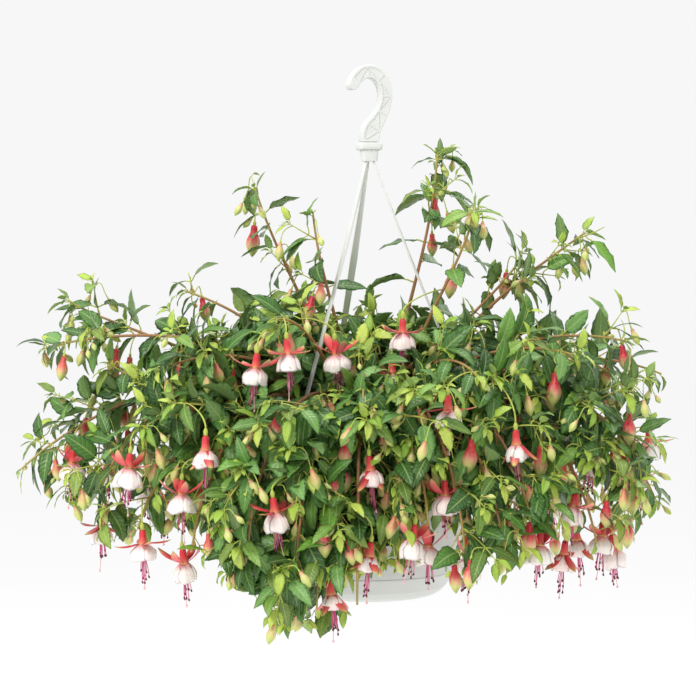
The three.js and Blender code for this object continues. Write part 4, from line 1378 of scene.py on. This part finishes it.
def add_flower(skin, rng, neck):
    """An open flower: ovary, tube, four sepals, a double bell of petals, stamens and style."""
    lean = np.array([rng.uniform(-0.14, 0.14), rng.uniform(-0.14, 0.14), 0])
    down = unit(-UP + lean)
    side = square_to(np.array([1.0, 0, 0]), down)
    droop_frame = (side, np.cross(down, side), down)
    tone = rng.random()
    add_turned(skin, [
        (0, -1.5), (1.3, -0.8), (2.5, 2.2), (2.3, 5.4), (1.6, 7.2), (0, 8),
    ], 10, neck, STALK, axis=down, age=0.0)
    add_turned(skin, [
        (0, 6.5), (2.4, 7), (3.3, 8.6), (3.7, 12), (3.8, 16), (4.4, 19), (5.3, 21.5), (4.4, 24),
        (0, 24.6),
    ], 18, neck, CALYX, axis=down, ridges=0.04, tone=tone)
    turn = rng.uniform(0, math.pi / 2)
    opening = rng.random()
    if opening < 0.22:
        rise, curl, bloom = rng.uniform(-1.1, -0.8), rng.uniform(0.0, 0.5), 0.84
    elif opening < 0.6:
        rise, curl, bloom = rng.uniform(-0.3, 0.15), rng.uniform(0.1, 0.6), 0.95
    else:
        rise, curl, bloom = rng.uniform(0.3, 0.9), rng.uniform(-0.1, 0.7), 1.0
    for quarter in range(4):
        grid = sepal_grid(
            neck, turn + quarter * math.pi / 2 + rng.uniform(-0.1, 0.1),
            rise + rng.uniform(-0.2, 0.2), curl + rng.uniform(-0.25, 0.25),
            rng.uniform(25, 29), rng.uniform(9.5, 12), droop_frame,
        )
        add_shell(skin, grid[:, ::-1], SEPAL_THICKNESS, CALYX, tone=tone)
    flare = rng.uniform(12.4, 14.8) * bloom
    length = rng.uniform(19.5, 23) * bloom
    closing = rng.uniform(-0.1, 0.15)
    for ring, (count, layer, shorter) in enumerate(PETAL_RINGS):
        for number in range(count):
            around = turn + math.pi / 4 + (number + 0.5 * ring) * 2 * math.pi / count
            grid = petal_grid(
                rng, neck, around, 0.95, length - shorter, flare, closing, layer, droop_frame
            )
            add_shell(skin, grid, PETAL_THICKNESS, COROLLA, tone=tone)
    add_stamens(skin, rng, neck, droop_frame, bloom ** 3)


def add_flower_stalk(skin, neck, place):
    """A thin stalk that leaves a joint outwards and bends down to a flower's neck."""
    outwards = neck - place
    outwards[2] = 0
    if np.linalg.norm(outwards) < 2:
        outwards = np.array([neck[0], neck[1], 0])
    outwards = unit(outwards)
    drop = place[2] - neck[2]
    path = bezier([
        place, place + outwards * 10 + UP * 3, neck + UP * drop * 0.55 + outwards * 2, neck,
    ], 12)
    add_tube(skin, path, np.linspace(0.75, 0.95, 12), 6, STALK, ages=np.linspace(0.3, 0.05, 12))


def hang_flowers(shoots):
    """Each open flower on a stalk from the nearest joint above it, where there is one."""
    joints = [(place, shoot) for shoot in shoots for place in shoot.joints]
    places = np.array([place for place, _ in joints])
    for number, spot in enumerate(FLOWERS):
        neck = np.array(spot, float)
        rng = random.Random(500 + number)
        rise = places[:, 2] - neck[2]
        distance = np.linalg.norm(places - neck, axis=1) + np.where(rise < 9, 1e6, 0)
        distance += 0.5 * np.abs(rise - 32)
        best = int(distance.argmin())
        if number >= CAD_FLOWERS and distance[best] > LONGEST_STALK:
            continue
        skin = Skin() if number < CAD_FLOWERS else joints[best][1].blooms
        add_flower(skin, rng, neck)
        add_flower_stalk(skin, neck, places[best])
        if number < CAD_FLOWERS:
            name = f"{number + 1:02d}"
            piece = skin.build(f"open_flower_{name}", BLOOM_MATERIALS, "petal")
            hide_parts(f"flower_{name}")


def before_flowers(line):
    """A stem's line without an end that would run into an open flower."""
    count = len(line)
    while count > len(line) // 2 and in_flower(line[count - 1:count]):
        count -= 1
    return line if count == len(line) else line[:count - 3]


def grow_main_stem(shoot, row):
    """A main stem with its joints: pairs of leaves, side twigs and buds."""
    rng = shoot.rng
    line = before_flowers(stem_line(row))
    root = line[0] - UP * 14
    line_in_soil = np.vstack([root, line[0] - UP * 6, line])
    grow_stem(shoot, line_in_soil, STEM_RADIUS, STEM_TIP_RADIUS, 1.0, 0.3, sides=8)
    length = STEP * (len(line) - 1)
    joint = 58 + rng.uniform(0, 16)
    number = 0
    while joint < length - 3:
        share = joint / length
        place, tangent, across = at_joint(rng, line, joint, number, 0.35)
        shoot.joints.append(place)
        wide, height = math.hypot(*place[:2]), place[2]
        bushy = smooth(BUSHY_FROM, BUSHY_BELOW, height)
        bare = smooth(BARE_WITHIN, BAREST_WITHIN, wide) * smooth(BARE_FROM, BAREST_BELOW, height)
        bare *= 1 - bushy
        for side in (1, -1):
            if rng.random() < LEAF_CHANCE - FEWER_LEAVES * bare:
                grow_leaf(
                    shoot, place, across * side, tangent, 60 - 28 * share ** 2,
                    1.0 - 0.6 * share, 0.35,
                )
            if rng.random() < TWIG_CHANCE + MORE_TWIGS * bushy - FEWER_TWIGS * bare:
                away = across * side * 0.8 + tangent * 0.6 + UP * rng.uniform(-0.1, 0.3)
                short = rng.uniform(18, 42)
                full = rng.uniform(60, 130) * (1 - 0.45 * share)
                reach = short + (full - short) * bushy
                grow_twig(shoot, place, away, reach, 0.9 - 0.45 * share)
        if share > 0.6 and rng.random() < 0.4:
            grow_bud(shoot, place, across * rng.choice((1, -1)), share)
        joint += rng.uniform(27, 38) * (1 - 0.35 * share)
        number += 1
    grow_tip(shoot, line[-1], unit(line[-1] - line[-5]), 0.6)


def make_plant():
    """Every shoot with its further stems, then the open flowers, then the pieces of it all."""
    shoots = []
    for number, row in enumerate(SHOOTS):
        shoot = Shoot(row[0], 100 + number)
        for stem in [row, *(extra for extra in HANGING_STEMS if extra[0] == row[0])]:
            grow_main_stem(shoot, stem)
        shoots.append(shoot)
    hang_flowers(shoots)
    for shoot in shoots:
        shoot.stems.build(f"stems_{shoot.name}", [STEM], "foliage")
        leaves = shoot.leaves.build(f"leaves_{shoot.name}", [LEAF], "foliage")
        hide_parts(f"shoot_{shoot.name}")
        if shoot.blooms.count:
            shoot.blooms.build(f"blooms_{shoot.name}", BLOOM_MATERIALS, "petal")


# ------------------------------------------------------------------ camera, lights, floor
CAMERA_DISTANCE = 2.5
CAMERA_ACROSS, CAMERA_HEIGHT = -0.0235, -0.1585
CAMERA_LOOKS_DOWN = math.radians(3.26)
# The width of the view at the pot's axis.
VIEW_WIDTH = 0.77952
FLOOR_Z = -1.35
FLOOR_HALF = 14.0
PLANT_MIDDLE = (0, 0, -0.35)
WORLD_STRENGTH = 0.93


def make_camera():
    """A long lens from the front, that looks down a little."""
    camera = bpy.data.cameras.new("camera")
    camera.sensor_width = 36
    camera.lens = camera.sensor_width * CAMERA_DISTANCE / VIEW_WIDTH
    holder = bpy.data.objects.new("camera", camera)
    holder.location = (CAMERA_ACROSS, -CAMERA_DISTANCE, CAMERA_HEIGHT)
    holder.rotation_euler = (math.pi / 2 - CAMERA_LOOKS_DOWN, 0, 0)
    bpy.context.scene.collection.objects.link(holder)
    bpy.context.scene.camera = holder


def area_light(name, place, size, power):
    """A round soft light that faces the plant."""
    light = bpy.data.lights.new(name, "AREA")
    light.shape = "DISK"
    light.size = size
    light.energy = power
    holder = bpy.data.objects.new(name, light)
    holder.location = place
    direction = Vector(PLANT_MIDDLE) - Vector(place)
    holder.rotation_euler = direction.to_track_quat("-Z", "Y").to_euler()
    bpy.context.scene.collection.objects.link(holder)


def make_studio():
    """Three soft lights, a white world and a pale floor far below the basket."""
    area_light("key", (-1.6, -2.0, 1.7), 0.8, 50)
    area_light("top", (0.3, 0.5, 2.2), 1.0, 24)
    area_light("back", (1.4, 2.2, 0.8), 1.6, 8)
    world = bpy.data.worlds.new("studio")
    world.use_nodes = True
    background = world.node_tree.nodes["Background"]
    background.inputs["Color"].default_value = (1.0, 1.0, 1.0, 1.0)
    background.inputs["Strength"].default_value = WORLD_STRENGTH
    bpy.context.scene.world = world
    bpy.context.scene.view_settings.view_transform = "Standard"

    mesh = bpy.data.meshes.new("floor")
    corners = [(-1, -1), (1, -1), (1, 1), (-1, 1)]
    mesh.from_pydata(
        [(x * FLOOR_HALF, y * FLOOR_HALF, FLOOR_Z) for x, y in corners], [], [[0, 1, 2, 3]]
    )
    shader = Shader("floor", Specular_IOR_Level=0.0)
    white = shader.mix(shader.noise(3, detail=2), srgb(255, 255, 255), srgb(254, 254, 254))
    mesh.materials.append(shader.finish(white, 1.0))
    floor = bpy.data.objects.new("floor", mesh)
    bpy.context.scene.collection.objects.link(floor)


make_camera()
make_studio()
make_pot()
make_compost()
make_hook()
make_collar()
for strap_side, strap_azimuth in STRAP_AZIMUTHS.items():
    make_strap(strap_side, strap_azimuth)
make_plant()
